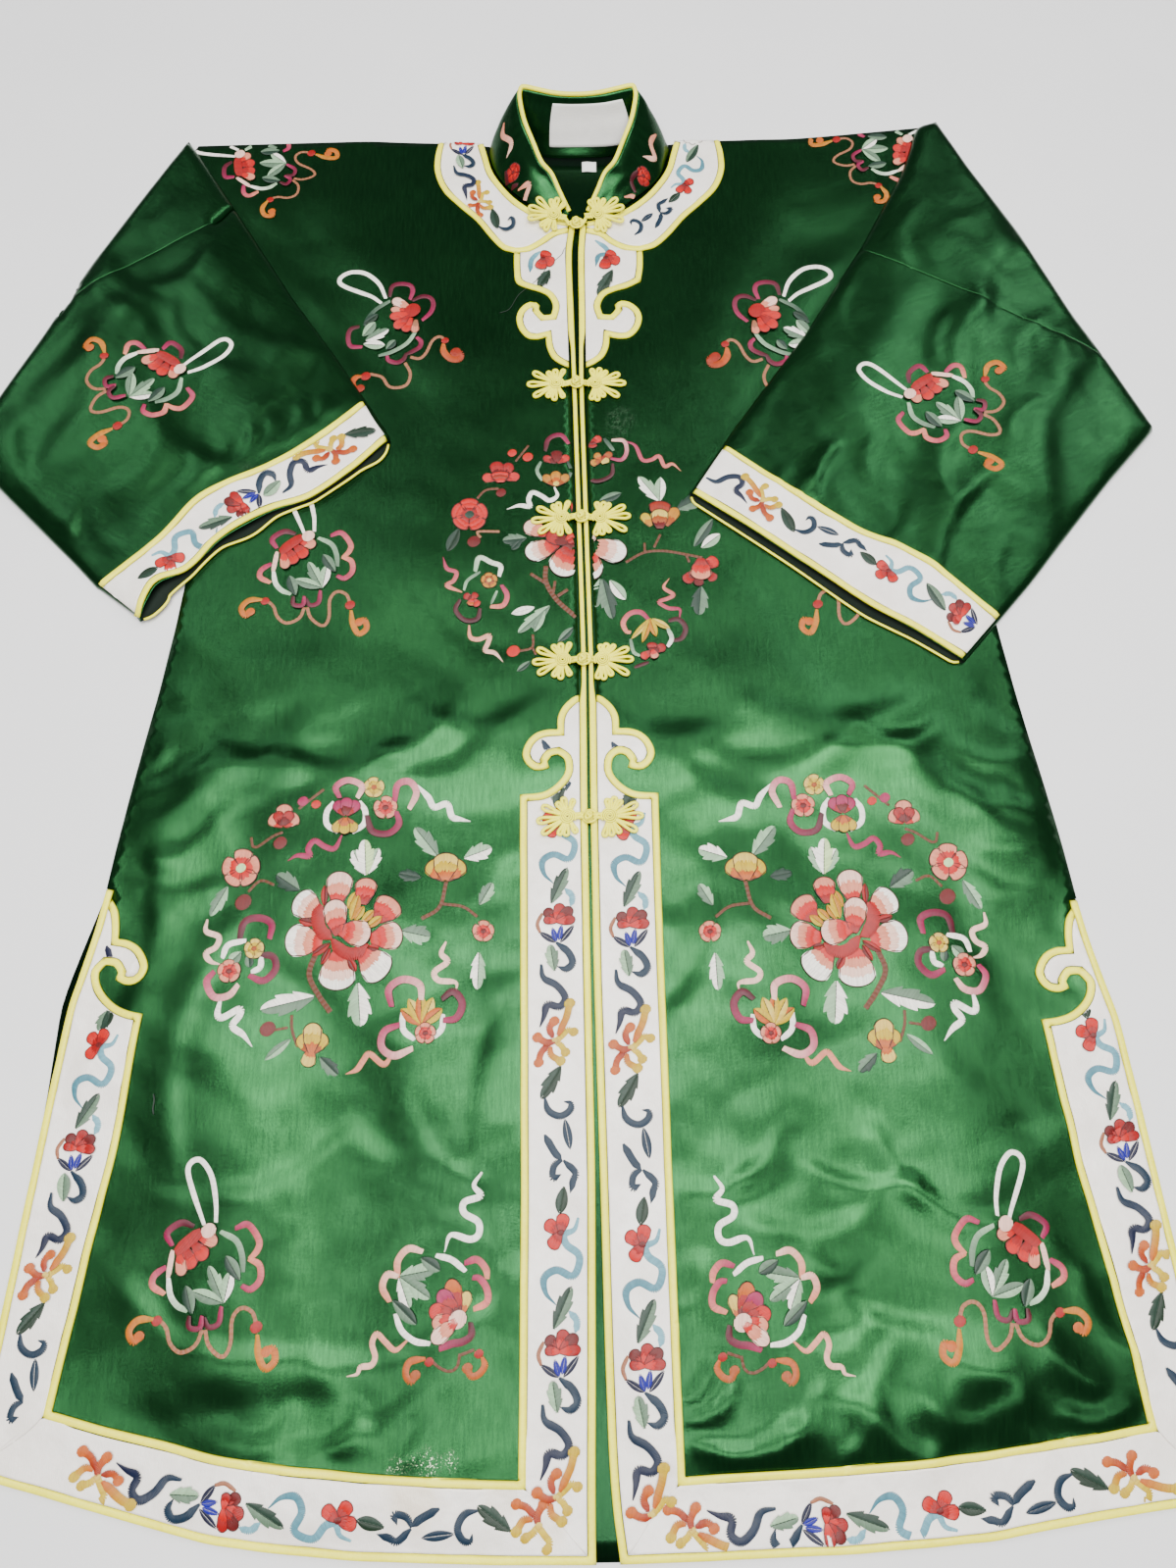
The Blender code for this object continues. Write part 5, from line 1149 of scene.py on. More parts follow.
CHEST_MEDALLION = [
    ("ribbon", [(-23, -347), (-21, -354), (-27, -358), (-33, -354), (-40, -351), (-43, -357), (-42, -363),
     (-50, -362), (-59, -365)], 3.7, "white"),
    ("ribbon", [(33, -308), (40, -312), (45, -324), (52, -324), (58, -321), (62, -330), (68, -328),
     (74, -334)], 3.2, "rose pink"),
    ("ribbon", [(-93, -434), (-104, -429), (-99, -425), (-97, -418), (-104, -415), (-107, -406)], 3.3,
     "pink rose"),
    ("ribbon", [(-87, -461), (-86, -470), (-80, -472), (-72, -469), (-73, -475), (-75, -481), (-68, -483),
     (-62, -490)], 3.6, "pink blush"),
    ("ribbon", [(69, -456), (69, -450), (61, -449), (54, -444), (61, -441), (65, -438), (58, -432),
     (62, -425)], 3.1, "rose pink"),
    ("stem", [(-30, -413), (-30, -426), (-22, -441), (-8, -455)], 3.4, "brown"),
    ("stem", [(-41.6, -419.3), (-30.4, -427.1)], 2.2, "brown"),
    ("stem", [(-23.1, -425.4), (-24.6, -434.9)], 2, "brown"),
    ("stem", [(-13.7, -432.7), (-21.4, -437.9)], 2.2, "brown"),
    ("stem", [(30, -411), (44, -403), (59, -402), (75, -405), (88, -408)], 2.1, "brown"),
    ("stem", [(44.6, -395), (44.7, -402.8)], 1.4, "brown"),
    ("stem", [(51.6, -399), (56.9, -388.1)], 1.7, "brown"),
    ("stem", [(75.4, -404.8), (77.9, -411.8)], 1.7, "brown"),
    ("stem", [(-42.9, -310.3), (-53, -324.1)], 1.4, "brown"),
    ("stem", [(-65.8, -347.4), (-75.9, -348.8), (-82.2, -355.9)], 1.7, "brown"),
    ("stem", [(-64.9, -384), (-81.9, -384.2), (-79, -389.2)], 2, "tan"),
    ("stem", [(-49.9, -481.7), (-40.3, -478.9), (-40, -468.5)], 1.6, "brown"),
    ("stem", [(-40.3, -478.9), (-37.6, -484.9)], 1.4, "brown"),
    ("leaf", [(10.5, -424.4), (7, -447.5)], 9.2, "grey sage"),
    ("leaf", [(12.3, -424.4), (19.3, -457.4)], 11.8, "slate grey"),
    ("leaf", [(17.9, -426), (29.1, -441.7)], 8.7, "sage white"),
    ("leaf", [(-27, -445.7), (-51, -467.3)], 9.2, "grey sage"),
    ("leaf", [(-38.8, -447.1), (-55.5, -451.8)], 6.4, "white white"),
    ("leaf", [(-31.2, -449.9), (-38.9, -466.6)], 6.4, "sage grey"),
    ("leaf", [(-44.6, -389.7), (-62.5, -391.7)], 9.9, "slate grey"),
    ("leaf", [(-48.6, -391.3), (-55.7, -399.3)], 5.7, "slate slate"),
    ("leaf", [(11.1, -359.3), (28, -352.5)], 7.1, "grey slate"),
    ("leaf", [(57.1, -360), (41.6, -338.8)], 10.6, "white sage"),
    ("leaf", [(57.1, -360), (58.4, -340)], 8.6, "sage white"),
    ("leaf", [(70, -367), (87.2, -358.5)], 12, "slate grey"),
    ("leaf", [(82, -398.7), (97.1, -375.8)], 7.9, "grey slate"),
    ("leaf", [(87.6, -399.9), (101.8, -388.8)], 8.5, "white sage"),
    ("leaf", [(85.8, -431.6), (83.2, -454.9)], 12.6, "grey slate"),
    ("leaf", [(-95.7, -381.4), (-103.9, -400.6)], 8.5, "forest slate"),
    ("leaf", [(-41.7, -490), (-51.5, -498)], 4.7, "slate grey"),
    ("leaf", [(-21.3, -474.8), (-10.1, -463.5)], 6.1, "grey slate"),
    ("petal", [(-28.8, -386.9), (-46.1, -377.9)], 13.5, "coral pink blush"),
    ("petal", [(-20.4, -394.8), (-45.2, -403.8)], 16.7, "red coral pink blush white"),
    ("petal", [(-8.3, -395), (-20.6, -421.4)], 22.6, "crimson red coral pink white"),
    ("petal", [(-1.3, -395.9), (5.7, -425.4)], 18.4, "crimson red coral pink white"),
    ("petal", [(2.9, -396.7), (30.6, -404.9)], 19.1, "coral pink blush white"),
    ("petal", [(-3.9, -376.2), (-4.3, -357.9)], 14.2, "crimson rust coral"),
    ("petal", [(-13.3, -394.9), (-28.8, -386.1)], 13.4, "crimson red"),
    ("petal", [(-7.7, -398.1), (-11.1, -387.1)], 9.9, "crimson red coral"),
    ("petal", [(0.8, -399), (3.8, -387.3)], 9.9, "coral pink blush"),
    ("leaf", [(-2.6, -388.8), (-4.6, -377.8)], 4.2, "yellow amber"),
    ("leaf", [(-0.5, -388.8), (4.6, -378.7)], 4.2, "amber yellow"),
    ("petal", [(50, -381), (43.9, -370.3)], 7.9, "amber yellow"),
    ("petal", [(61.4, -381.1), (70, -366.2)], 9.4, "ochre amber"),
    ("petal", [(56.6, -373.9), (57.3, -360.4)], 16.8, "ochre rust"),
    ("petal", [(56.6, -383.7), (56.8, -367.3)], 13.6, "crimson ochre peach"),
    ("petal", [(88.3, -415.8), (99.1, -409.4)], 10.4, "red coral"),
    ("petal", [(82.5, -419.6), (73.4, -427.9)], 9.3, "crimson red"),
    ("petal", [(90.2, -419.7), (97, -426.7)], 7.9, "crimson red"),
    ("petal", [(84.6, -421.2), (84.1, -431.6)], 7.8, "crimson"),
    ("petal", [(86.8, -408.9), (85.8, -426.6)], 15.8, "red coral pink"),
    ("band", [(-30, -315), (-28, -306), (-23, -302), (-17, -302), (-12, -309)], 3.8, "maroon rose"),
    ("petal", [(-21.2, -325.4), (-31.6, -320.8)], 6.3, "crimson red"),
    ("petal", [(-20.9, -325.4), (-11.4, -320.8)], 6.6, "red coral"),
    ("petal", [(-21.2, -325.4), (-21.2, -315.6)], 9.5, "crimson"),
    ("band", [(-33.5, -325.2), (-36.4, -332.5), (-32.8, -340.6)], 2.9, "grey sage"),
    ("band", [(-12.6, -325.5), (-10.3, -332.9), (-11.9, -339.3)], 2.6, "slate grey"),
    *fan("petal", (-22, -345.6), ((-31.7, -336.8), 7.2, "ochre amber"),
         ((-12.1, -337), 7.2, "ochre amber"), ((-21.9, -333.5), 8.3, "orange amber")),
    ("dot", [(-21.7, -344.3)], 4.3, "peach"),
    ("petal", [(5.7, -308.6), (13.5, -304.1)], 6.4, "red coral"),
    ("petal", [(6.2, -307.9), (7.1, -313.5)], 6.7, "crimson red"),
    ("band", [(16, -305.4), (22.6, -315.4)], 3.2, "slate grey"),
    ("petal", [(13.4, -324.3), (8.5, -318.1)], 6.1, "orange amber"),
    ("petal", [(13.4, -324.3), (21.5, -317.8)], 6.1, "rust ochre"),
    ("petal", [(12.7, -325.1), (4.7, -327.4)], 6.1, "ochre amber"),
    ("petal", [(13.4, -327), (18.9, -323.5)], 4.9, "peach"),
    ("band", [(22, -307), (31, -308), (33, -317), (29, -324), (21, -323)], 3.2, "blush rose"),
    ("band", [(2, -335), (6, -342), (13, -342), (21, -337), (22, -328)], 3.2, "maroon"),
    ("dot", [(-55.6, -316.7)], 6.4, "coral"),
    ("dot", [(-43.5, -320.6)], 7.5, "coral"),
    ("petal", [(-65.2, -338.5), (-78.5, -338)], 8, "red coral"),
    ("petal", [(-63.7, -338.5), (-49.8, -337.1)], 8, "red coral"),
    ("petal", [(-63, -338.5), (-56.6, -326)], 8.9, "crimson red"),
    ("petal", [(-65.9, -338.5), (-68.1, -324.8)], 10.9, "crimson red"),
    ("petal", [(-64.4, -342.6), (-64.8, -333.3)], 14.4, "coral rust coral"),
    ("dot", [(-64, -351.1)], 7.2, "crimson"),
    ("flower", [(-87.8, -369.9)], 27.9, "red coral coral slate"),
    ("dot", [(-84.2, -392.6)], 9.3, "crimson"),
    ("band", [(-83, -417), (-80, -406), (-71, -410), (-64, -413), (-65, -421)], 3.9, "sage white"),
    ("band", [(-79.4, -418), (-88.5, -424.7), (-91.1, -432.3)], 2.5, "grey sage"),
    ("band", [(-66.7, -433.5), (-70.8, -443.3)], 2.2, "sage grey"),
    ("flower", [(-72.4, -424.7)], 12.6, "ochre amber peach"),
    ("band", [(-63, -429), (-59, -437), (-62, -445), (-71, -446)], 3.9, "rose pink"),
    *fan("petal", (-84.8, -440), ((-91.1, -436.1), 5.8, "crimson red"), ((-81.8, -434.8), 5.8, "red"),
         ((-79.8, -445.4), 6.1, "red coral"), ((-86.8, -445.3), 5.6, "coral orange")),
    ("band", [(-94, -441), (-97, -449), (-90, -457), (-81, -456), (-79, -448)], 3.6, "maroon"),
    ("dot", [(-54.3, -481.7)], 9.1, "coral"),
    ("band", [(46, -458), (40, -452), (32, -453), (27, -460), (29, -467), (32, -468)], 3.9, "rose pink"),
    ("band", [(61, -459), (68, -458), (73, -465), (70, -473), (64, -475)], 3.9, "maroon"),
    *fan("leaf", (47, -457.4), ((32.5, -473.6), 4.2, "peach yellow"), ((40.7, -476.4), 5, "amber yellow"),
         ((51, -471.8), 5.5, "yellow amber")),
    ("leaf", [(48.4, -457.9), (61.3, -466)], 5, "peach yellow"),
    ("band", [(32.1, -474.1), (33.9, -483.7), (38.2, -486.8)], 2.8, "grey sage"),
    ("band", [(59.9, -466.3), (62.4, -473.8), (59.4, -480)], 3.3, "sage white"),
    *fan("petal", (47.6, -483.7), ((39.3, -488.5), 6.3, "red coral"),
         ((57.7, -479.7), 6.9, "crimson red"), ((47.8, -476.8), 7.7, "crimson red")),
    ("petal", [(47.7, -482.5), (50.2, -489.6)], 6.3, "coral pink"),
    ("band", [(34.7, -495.8), (44.6, -492)], 2.7, "maroon"),
]
FAN_CHARM = [
    ("ribbon", [(30.2, 75.3), (25.6, 67.9), (29.8, 61.4), (19.5, 57.7), (19.5, 51.1), (28.4, 45.6),
     (28.8, 38.1), (23.2, 35.3), (11.2, 38.1), (7.4, 28.4)], 4.2, "white"),
    ("ribbon", [(-14.9, -23.2), (-22.3, -28.8), (-28.8, -24.2), (-34.4, -19.5), (-37.2, -25.1),
     (-34.9, -32.5), (-37.2, -37.2), (-43.7, -38.1), (-45.6, -41.9), (-51.6, -43.2)], 3.6, "pink blush"),
    ("stem", [(18.1, -30.7), (16.7, -38.1), (12.1, -40.9), (5.6, -38.6), (1.4, -35.3)], 1.6, "brown"),
    ("stem", [(18.6, -31.6), (27, -28.8)], 1.6, "brown"),
    ("band", [(-7, 28.4), (-15.8, 30.2), (-22.3, 23.2), (-22.3, 13.9)], 4.4, "blush pink"),
    ("band", [(-22.3, 13.9), (-28.8, 14.9), (-31.6, 7.4), (-27, -0.5)], 4.4, "blush pink"),
    ("band", [(20.5, 21.4), (27.9, 23.2), (33.5, 17.7), (34.4, 12.1)], 4.4, "rose pink"),
    ("band", [(25.6, 12.6), (29.8, 12.1), (34.4, 5.6), (34.4, -1.9), (26.5, -5.6)], 4.4, "rose pink"),
    ("band", [(24.6, -13.5), (25.1, -20.5), (19.5, -24.2), (13, -25.1), (5.6, -27.9)], 4.6,
     "maroon rose"),
    ("band", [(2.3, 26), (12.1, 23.2), (20.5, 16.7)], 3.8, "white"),
    ("band", [(-22.8, -8.4), (-18.6, -17.7), (-10.2, -23.7), (-0.9, -25.1)], 3.8, "white"),
    ("leaf", [(-20.9, 13.9), (1.4, 17.7)], 10, "sage grey"),
    ("leaf", [(-20.5, 13.5), (-1.4, 0.9)], 10, "grey sage"),
    ("leaf", [(-20.9, 13), (-13.9, -4.7)], 9, "sage white"),
    ("leaf", [(-7.4, 24.6), (4.7, 17.2)], 8, "slate grey"),
    ("leaf", [(-24.6, 0), (-9.3, -13.9)], 8, "slate grey"),
    *fan("petal", (16.7, -11.2), ((17.7, 4.7), 8, "orange peach"), ((22.8, 4.7), 8, "orange peach"),
         ((11.6, 12.1), 11, "crimson red orange"), ((4.7, 5.6), 11, "crimson red rose"),
         ((-1.4, -5.1), 11, "crimson red coral"), ((0.5, -13.9), 10, "red coral pink")),
    ("petal", [(16.7, -11.6), (0.9, -24.2)], 10, "coral pink blush"),
    ("dot", [(16.6, -11.6)], 11, "blush"),
    ("dot", [(-0.9, -35.3)], 5.4, "red"),
    ("dot", [(29.8, -31.2)], 5.4, "red"),
    ("hook", [(-3.7, -33.5), (-13, -35.3), (-15.3, -41.9), (-12.1, -46.5), (-9.3, -42.8)], 4.2,
     "orange ochre"),
    ("hook", [(32.1, -33.5), (33.5, -38.1), (29.8, -42.8), (25.1, -43.7), (22.8, -39.1)], 4.2,
     "orange ochre"),
]
ON_CLOUDS = [
    ("ribbon", [(-33.4, -132.6), (-40, -140.2), (-41.6, -151.8)], 4.2, "pale_teal dull_teal"),
    *fan("petal", (-31, -140.4), ((-26.9, -132.7), 10, "red coral"), ((-21.8, -144), 10, "red coral"),
         ((-33.5, -149.6), 10, "red coral")),
    ("dot", [(-31, -140.4)], 4, "crimson"),
    ("leaf", [(-25.4, -151.1), (-34.4, -166.3)], 9.5, "forest slate"),
    ("ribbon", [(12.3, -121.6), (20.3, -129.5), (21.8, -135.4), (14.5, -137.2), (11.9, -146.8)], 4.2,
     "pale_teal dull_teal"),
    *fan("petal", (20.1, -140.2), ((27.5, -133.9), 10, "red coral"), ((31.7, -143.3), 10, "red coral"),
         ((19.2, -150.4), 10, "red coral")),
    ("dot", [(20.1, -140.2)], 4, "crimson"),
    ("leaf", [(25.5, -151.8), (13, -174.6)], 9.5, "forest slate"),
    ("ribbon", [(-33.2, -551.8), (-30.5, -556), (-27.8, -559.6)], 3.4, "teal"),
    ("leaf", [(-14.2, -579.3), (-27, -595.3)], 9, "slate grey"),
    ("ribbon", [(18.4, -583.8), (21.8, -586.9), (24.6, -590)], 3.4, "teal"),
    ("leaf", [(34.3, -592.2), (23.4, -598.6)], 9.5, "forest slate"),
    ("ribbon", [(-331.1, -694.9), (-329, -700.1), (-326.9, -706.2)], 4.4, "navy"),
    ("leaf", [(-326.4, -738), (-330.6, -751.5)], 10, "slate grey"),
]
ON_COLLAR = [
    ("ribbon", [(-61.1, -24.4), (-62.2, -32.5), (-55.3, -40.7), (-59.3, -47.7)], 3.4, "pink blush"),
    ("flower", [(-54.4, -59.8)], 12, "coral red crimson"),
    ("ribbon", [(-50.3, -71.8), (-41.4, -71), (-45.4, -80.8), (-40.9, -89.7)], 3.4, "pink blush"),
    ("band", [(-60.4, -56.7), (-58.4, -67.1), (-51.1, -68.8)], 3, "maroon"),
    ("ribbon", [(62.6, -32.3), (58.3, -40.4), (61.9, -48.5), (52.2, -51)], 3.4, "pink blush"),
    ("flower", [(52.2, -63.4)], 12, "coral red crimson"),
    ("band", [(47.3, -62.3), (42.3, -68.2), (45.4, -74.7)], 3, "maroon"),
    ("ribbon", [(36.8, -80.1), (43.7, -78.2), (50.4, -82.3), (41.8, -88), (34.9, -92.3)], 3.4,
     "pink blush"),
]
STRIP_LONG = 270.0
STRIP = [
    # its points run across and along the band
    ("ribbon", [(14, -8.5), (11.4, -1.8), (5, 1.2), (6.4, 7.2), (14, 13), (13.7, 20.6), (9.5, 25.8),
     (0, 22), (-8, 26.5), (-7, 35.5), (-1, 42)], 4.8, "pale_teal dull_teal"),
    ("ribbon", [(8, 46.6), (12.5, 52), (11.3, 58.6)], 4.4, "pale_teal"),
    *fan("petal", (2.8, 0), ((-7.3, -6.5), 9, "red coral"), ((4.8, -11.6), 9, "red coral"),
         ((-3.9, 9.2), 9, "red coral")),
    ("dot", [(2.8, 0)], 4, "crimson"),
    ("leaf", [(-2.2, 56.3), (9.4, 31.7)], 9.5, "slate grey"),
    ("band", [(-8.5, 63.8), (-11.7, 70.5), (-10.1, 76.5)], 2.6, "tan"),
    ("leaf", [(-10.1, 76.5), (0.8, 83.6)], 4.4, "navy navy"),
    ("leaf", [(13.3, 72), (3.9, 83.6)], 4.4, "navy navy"),
    ("leaf", [(-1.5, 73.5), (1.2, 83)], 4, "blue blue"),
    ("leaf", [(5, 71.5), (3, 82)], 4, "blue blue"),
    *fan("petal", (1.6, 69), ((-6.5, 60.5), 8, "red crimson"), ((4.5, 56.5), 8.5, "coral red"),
         ((12.5, 60), 8, "red crimson"), ((14.5, 68), 7, "coral red"), ((-7.5, 68), 6, "coral red")),
    ("ribbon", [(1.6, 84), (9.4, 90.6), (12.2, 98), (7.8, 101.8), (2.3, 100.3)], 5, "teal"),
    ("ribbon", [(-9, 99), (-7.5, 107.5), (1.5, 113), (7, 121), (3, 127), (-5, 125.5), (-7.5, 133.5),
     (-10, 140)], 5, "teal navy"),
    ("leaf", [(0, 103), (-3.1, 85.4)], 9, "sage grey"),
    ("hook", [(-0.5, 150.5), (5.2, 145.6), (8.5, 142.5), (12.5, 143.9)], 4.2, "peach yellow"),
    ("hook", [(0.5, 151), (3.5, 152.1), (6.8, 157.1)], 4.2, "peach yellow"),
    ("hook", [(1.9, 145.6), (7.7, 134.1), (10.1, 125.1)], 4.8, "orange yellow"),
    ("hook", [(-2.1, 147.2), (-3.8, 140.7), (-0.5, 136.6)], 4.5, "rust orange"),
    ("hook", [(-0.5, 150.5), (-6.2, 150.5), (-11.9, 147.2)], 4.5, "rust orange"),
    ("hook", [(-4.5, 152.1), (-9.5, 157.1), (-11.1, 163.6)], 4.5, "rust orange"),
    ("hook", [(-2.9, 153.8), (-2.9, 158.7), (3.5, 162.8)], 4.4, "orange yellow"),
    ("dot", [(-0.3, 149.6)], 4, "peach"),
    ("leaf", [(3.6, 166), (-9.5, 187)], 9.8, "forest slate"),
    ("ribbon", [(-7, 187), (-4.6, 194.5), (2.8, 198), (9.3, 194.5), (10, 190), (6, 189)], 4.6, "teal"),
    ("leaf", [(6, 200), (9.3, 219)], 6, "teal teal"),
    ("ribbon", [(-7, 210), (-1.3, 220), (3.6, 226)], 5, "teal"),
    ("ribbon", [(5.2, 226), (12.5, 233.5), (11, 238), (9.2, 245.5)], 4.6, "teal"),
    ("ribbon", [(3.6, 226), (-1.3, 229), (-2.1, 236.5), (2.8, 234.6)], 4.4, "teal"),
    ("leaf", [(5.1, 242), (2, 258.5)], 8, "forest slate"),
]
BORDERS = [
    # ground, the strip's own mark at its start, size, the middle line of the border
    ("left", -61, 1.0, [(-25.5, -552), (-25.7, -964), (-27, -1042)]),
    ("right", -62, 1.02, [(24, -552), (27, -964), (30.5, -1046)]),
    ("left", -124, 1.0, [(-34, -1048), (-100, -1044), (-150, -1040), (-190, -1036.8), (-237, -1032),
     (-266, -1026), (-305, -1018), (-337, -1008)]),
    ("right", -145, 1.0, [(348, -1024), (316, -1029), (286, -1032), (240, -1038), (203, -1041),
     (160, -1045), (130, -1048), (84, -1051), (40, -1052)]),
    ("left", -24, 0.96, [(-328, -738), (-332, -764), (-340, -832), (-346.5, -887), (-354, -930),
     (-361, -990)]),
    ("right", -24, 0.97, [(327, -742), (332, -768), (342, -834), (351, -905), (358, -955), (363, -1000)]),
    ("left_sleeve", -34, 0.98, [(-333, -431), (-320, -420), (-299, -402), (-252, -361), (-218, -333),
     (-183, -307), (-163, -290)]),
    ("right_sleeve", 92, 0.9, [(93, -334), (143, -371), (186, -402), (224, -428), (252, -446),
     (284, -471)]),
    ("left", 62, 0.78, [(-99, -17), (-99, -36), (-96, -54), (-88, -74), (-76, -90), (-62, -105),
     (-46, -113)]),
    ("right", 192, 0.78, [(46, -110), (62, -103), (76, -88), (87, -72), (95, -52), (98, -36), (98, -14)]),
]
PLACES = [
    # ground, motif, x, y, turn in degrees, size, 1 or -1 when mirrored
    ("both", CHEST_MEDALLION, 0, 0, 0, 1.0, 1),
    ("left", MEDALLION, -163, -680, 0, 1.0, 1),
    ("right", MEDALLION, 169.6, -683, 0, 1.0, -1),
    ("left", CHARM, -248, -902.5, 0, 1.0, 1),
    ("right", CHARM, 261.5, -906, 0, 1.0, -1),
    ("left", FAN_CHARM, -104, -921, 0, 1.0, 1),
    ("right", FAN_CHARM, 107, -925.5, 0, 1.0, -1),
    ("left", CHARM, -210.5, -411, 0, 1.0, 1),
    ("right", CHARM, 207, -415, 0, 1.0, -1),
    ("left", CHEST_CHARM, -152.4, -202.3, 0, 1.0, 1),
    ("right", CHEST_CHARM, 158.5, -205.8, 2, 1.05, -1),
    ("left_sleeve", CHARM, -337.7, -252.7, -72, 1.0, 1),
    ("right_sleeve", CHARM, 277.7, -281.4, 72, 1.0, -1),
    ("left", CHARM, -266, -42, 60, 0.9, 1),
    ("right", CHARM, 258, -34.5, -60, 0.9, -1),
    ("both", ON_CLOUDS, 0, 0, 0, 1.0, 1),
    ("collar", ON_COLLAR, 0, 0, 0, 1.0, 1),
]


def soft_curve(points, step):
    """Even spots along a soft curve through the points."""
    points = np.asarray(points)
    if len(points) > 2:
        padded = np.vstack((2 * points[0] - points[1], points, 2 * points[-1] - points[-2]))
        t = np.linspace(0, 1, 24, endpoint=False)[:, None]
        parts = [bend(*four, t) for four in zip(padded[:-3], padded[1:-2], padded[2:-1], padded[3:])]
        points = np.vstack((*parts, points[-1:]))
    run = run_of(points)
    return read_at(np.linspace(0, run[-1], max(3, round(run[-1] / step))), run, points)


class Needle:
    """Works motifs on the cloth under it, stitch by stitch."""

    def __init__(self, *grounds):
        points, faces = [], []
        for ground in grounds:
            mesh = bpy.data.objects[ground].data
            first = len(points)
            points += [v.co for v in mesh.vertices]
            faces += [[first + k for k in face.vertices] for face in mesh.polygons]
        self.cloth = BVHTree.FromPolygons(points, faces)
        self.dice = random.Random(len(faces))
        self.stitches, self.boxes, self.layer = [], [], 0

    def under(self, x, y):
        """The cloth's point under a place and the cloth's normal there, or None twice."""
        return self.cloth.ray_cast(place(x, y, OVERHEAD), Vector((0, 0, -1)))[:2]

    def stitch(self, start, end, thread, wide=STITCH_WIDE):
        self.stitches.append((*start, *end, wide, *thread, self.layer))

    def shade(self, threads, share):
        """A thread's colour at a share of the way through a row of threads."""
        at = min(max(share, 0.0), 1.0) * (len(threads) - 1)
        low = min(int(at), len(threads) - 2) if len(threads) > 1 else 0
        high = min(low + 1, len(threads) - 1)
        worn = 1.0 + self.dice.uniform(-0.07, 0.05)
        return [worn * (a + (b - a) * (at - low)) for a, b in zip(threads[low], threads[high])]

    def petal(self, points, wide, threads):
        """Long stitches from base to tip, in rows of one thread each, with an outline."""
        base, tip = points
        along = tip - base
        side = left_of(along) / np.hypot(*along)
        count = max(5, round(wide / STITCH_APART))
        rim = []
        for k in range(count):
            s = (k + 0.5) / count * 2 - 1
            end = 1 - TIP_ROUND * (1 - math.sqrt(1 - s * s))
            cuts = [end * (i + self.dice.uniform(-RAGGED, RAGGED) * (i > 0)) / len(threads)
                    for i in range(len(threads))]
            cuts.append(end)
            fulls = [0.3 + 0.7 * math.sin(min(t / 0.7, 1.0) * math.pi / 2) for t in cuts]
            spots = [base + along * t + side * s * wide / 2 * full for t, full in zip(cuts, fulls)]
            for i, thread in enumerate(threads):
                self.stitch(spots[i], spots[i + 1], self.shade([thread], 0))
            rim.append(spots[-1])
        if wide >= OUTLINED:
            self.layer += UNDER_NEXT
            rim = [base - side * wide * 0.15, base + along * 0.4 - side * wide * 0.43, *rim,
                   base + along * 0.4 + side * wide * 0.43, base + side * wide * 0.15]
            thick = OUTLINE if wide < WIDE_FROM else WIDE_OUTLINE
            for a, b in zip(rim[:-1], rim[1:]):
                self.stitch(a, b, self.shade([THREADS["seam"]], 0), thick)
            self.layer -= UNDER_NEXT

    def leaf(self, points, wide, threads):
        """Slanting stitches to both sides of the middle, with a vein."""
        base, tip = points
        along = tip - base
        long = np.hypot(*along)
        side = left_of(along) / long
        lobes = 3 if wide >= LOBED else 0
        for t in np.arange(0.02, 1.0, STITCH_APART / long):
            half = wide / 2 * math.sin(math.pi * t ** 0.85) ** 0.75
            if lobes:
                half *= 0.78 + 0.34 * ((t * lobes + 0.15) % 1.0)
            here = base + along * t
            for way, thread in ((1, threads[0]), (-1, threads[-1])):
                lean = along / long * half * 0.5
                self.stitch(here + side * way * 0.12, here + lean + side * way * half,
                            self.shade([thread], 0))
        if wide > VEINED:
            for t in np.arange(0.0, 0.85, VEIN_APART / long):
                self.stitch(base + along * t, base + along * min(t + VEIN_LONG / long, 0.9),
                            self.shade([THREADS["forest"]], 0), VEIN)

    def across(self, points, wide, threads, start, end):
        """Stitches across a curve, narrowed to a share of its width at the start and at the end."""
        line = soft_curve(points, STITCH_APART)
        for k, (here, way) in enumerate(zip(line, ahead_of(line))):
            t = k / (len(line) - 1)
            half = wide / 2 * min(1.0, start + (1 - start) * t / 0.2, end + (1 - end) * (1 - t) / 0.2)
            side, lean = left_of(way) * half, way * half * 0.25
            self.stitch(here - side - lean, here + side + lean, self.shade(threads, t))

    def ribbon(self, points, wide, threads):
        self.across(points, wide, threads, 0.35, 0.15)

    def band(self, points, wide, threads):
        self.across(points, wide, threads, 0.7, 0.7)

    def hook(self, points, wide, threads):
        self.across(points, wide, threads, 0.5, 1.0)
        self.dot(points[-1:], wide * 1.45, threads[-1:])

    def stem(self, points, wide, threads):
        line = soft_curve(points, STEM_STEP)
        aside = left_of(ahead_of(line))
        lanes = max(2, round(wide / STITCH_APART))
        for lane in range(lanes):
            moved = line + aside * ((lane + 0.5) / lanes - 0.5) * wide
            for a, b in zip(moved[:-1], moved[1:]):
                self.stitch(a, b, self.shade(threads, 0))

    def dot(self, points, wide, threads):
        count = max(3, round(wide / STITCH_APART))
        for k in range(count):
            s = (k + 0.5) / count * 2 - 1
            half = wide / 2 * math.sqrt(1 - s * s)
            middle = points[0] + np.array((s * wide / 2, 0))
            self.stitch(middle - (0.15 * half, half), middle + (0.15 * half, half), self.shade(threads, 0))

    def flower(self, points, wide, threads):
        centre = points[0]
        for k in range(5):
            turn = math.radians(90 + 72 * k + self.dice.uniform(-8, 8))
            way = np.array((math.cos(turn), math.sin(turn)))
            self.petal([centre + way * wide * 0.08, centre + way * wide / 2], wide * 0.50, threads[:-1])
        self.layer += 1
        self.dot([centre], wide * 0.24, threads[-1:])

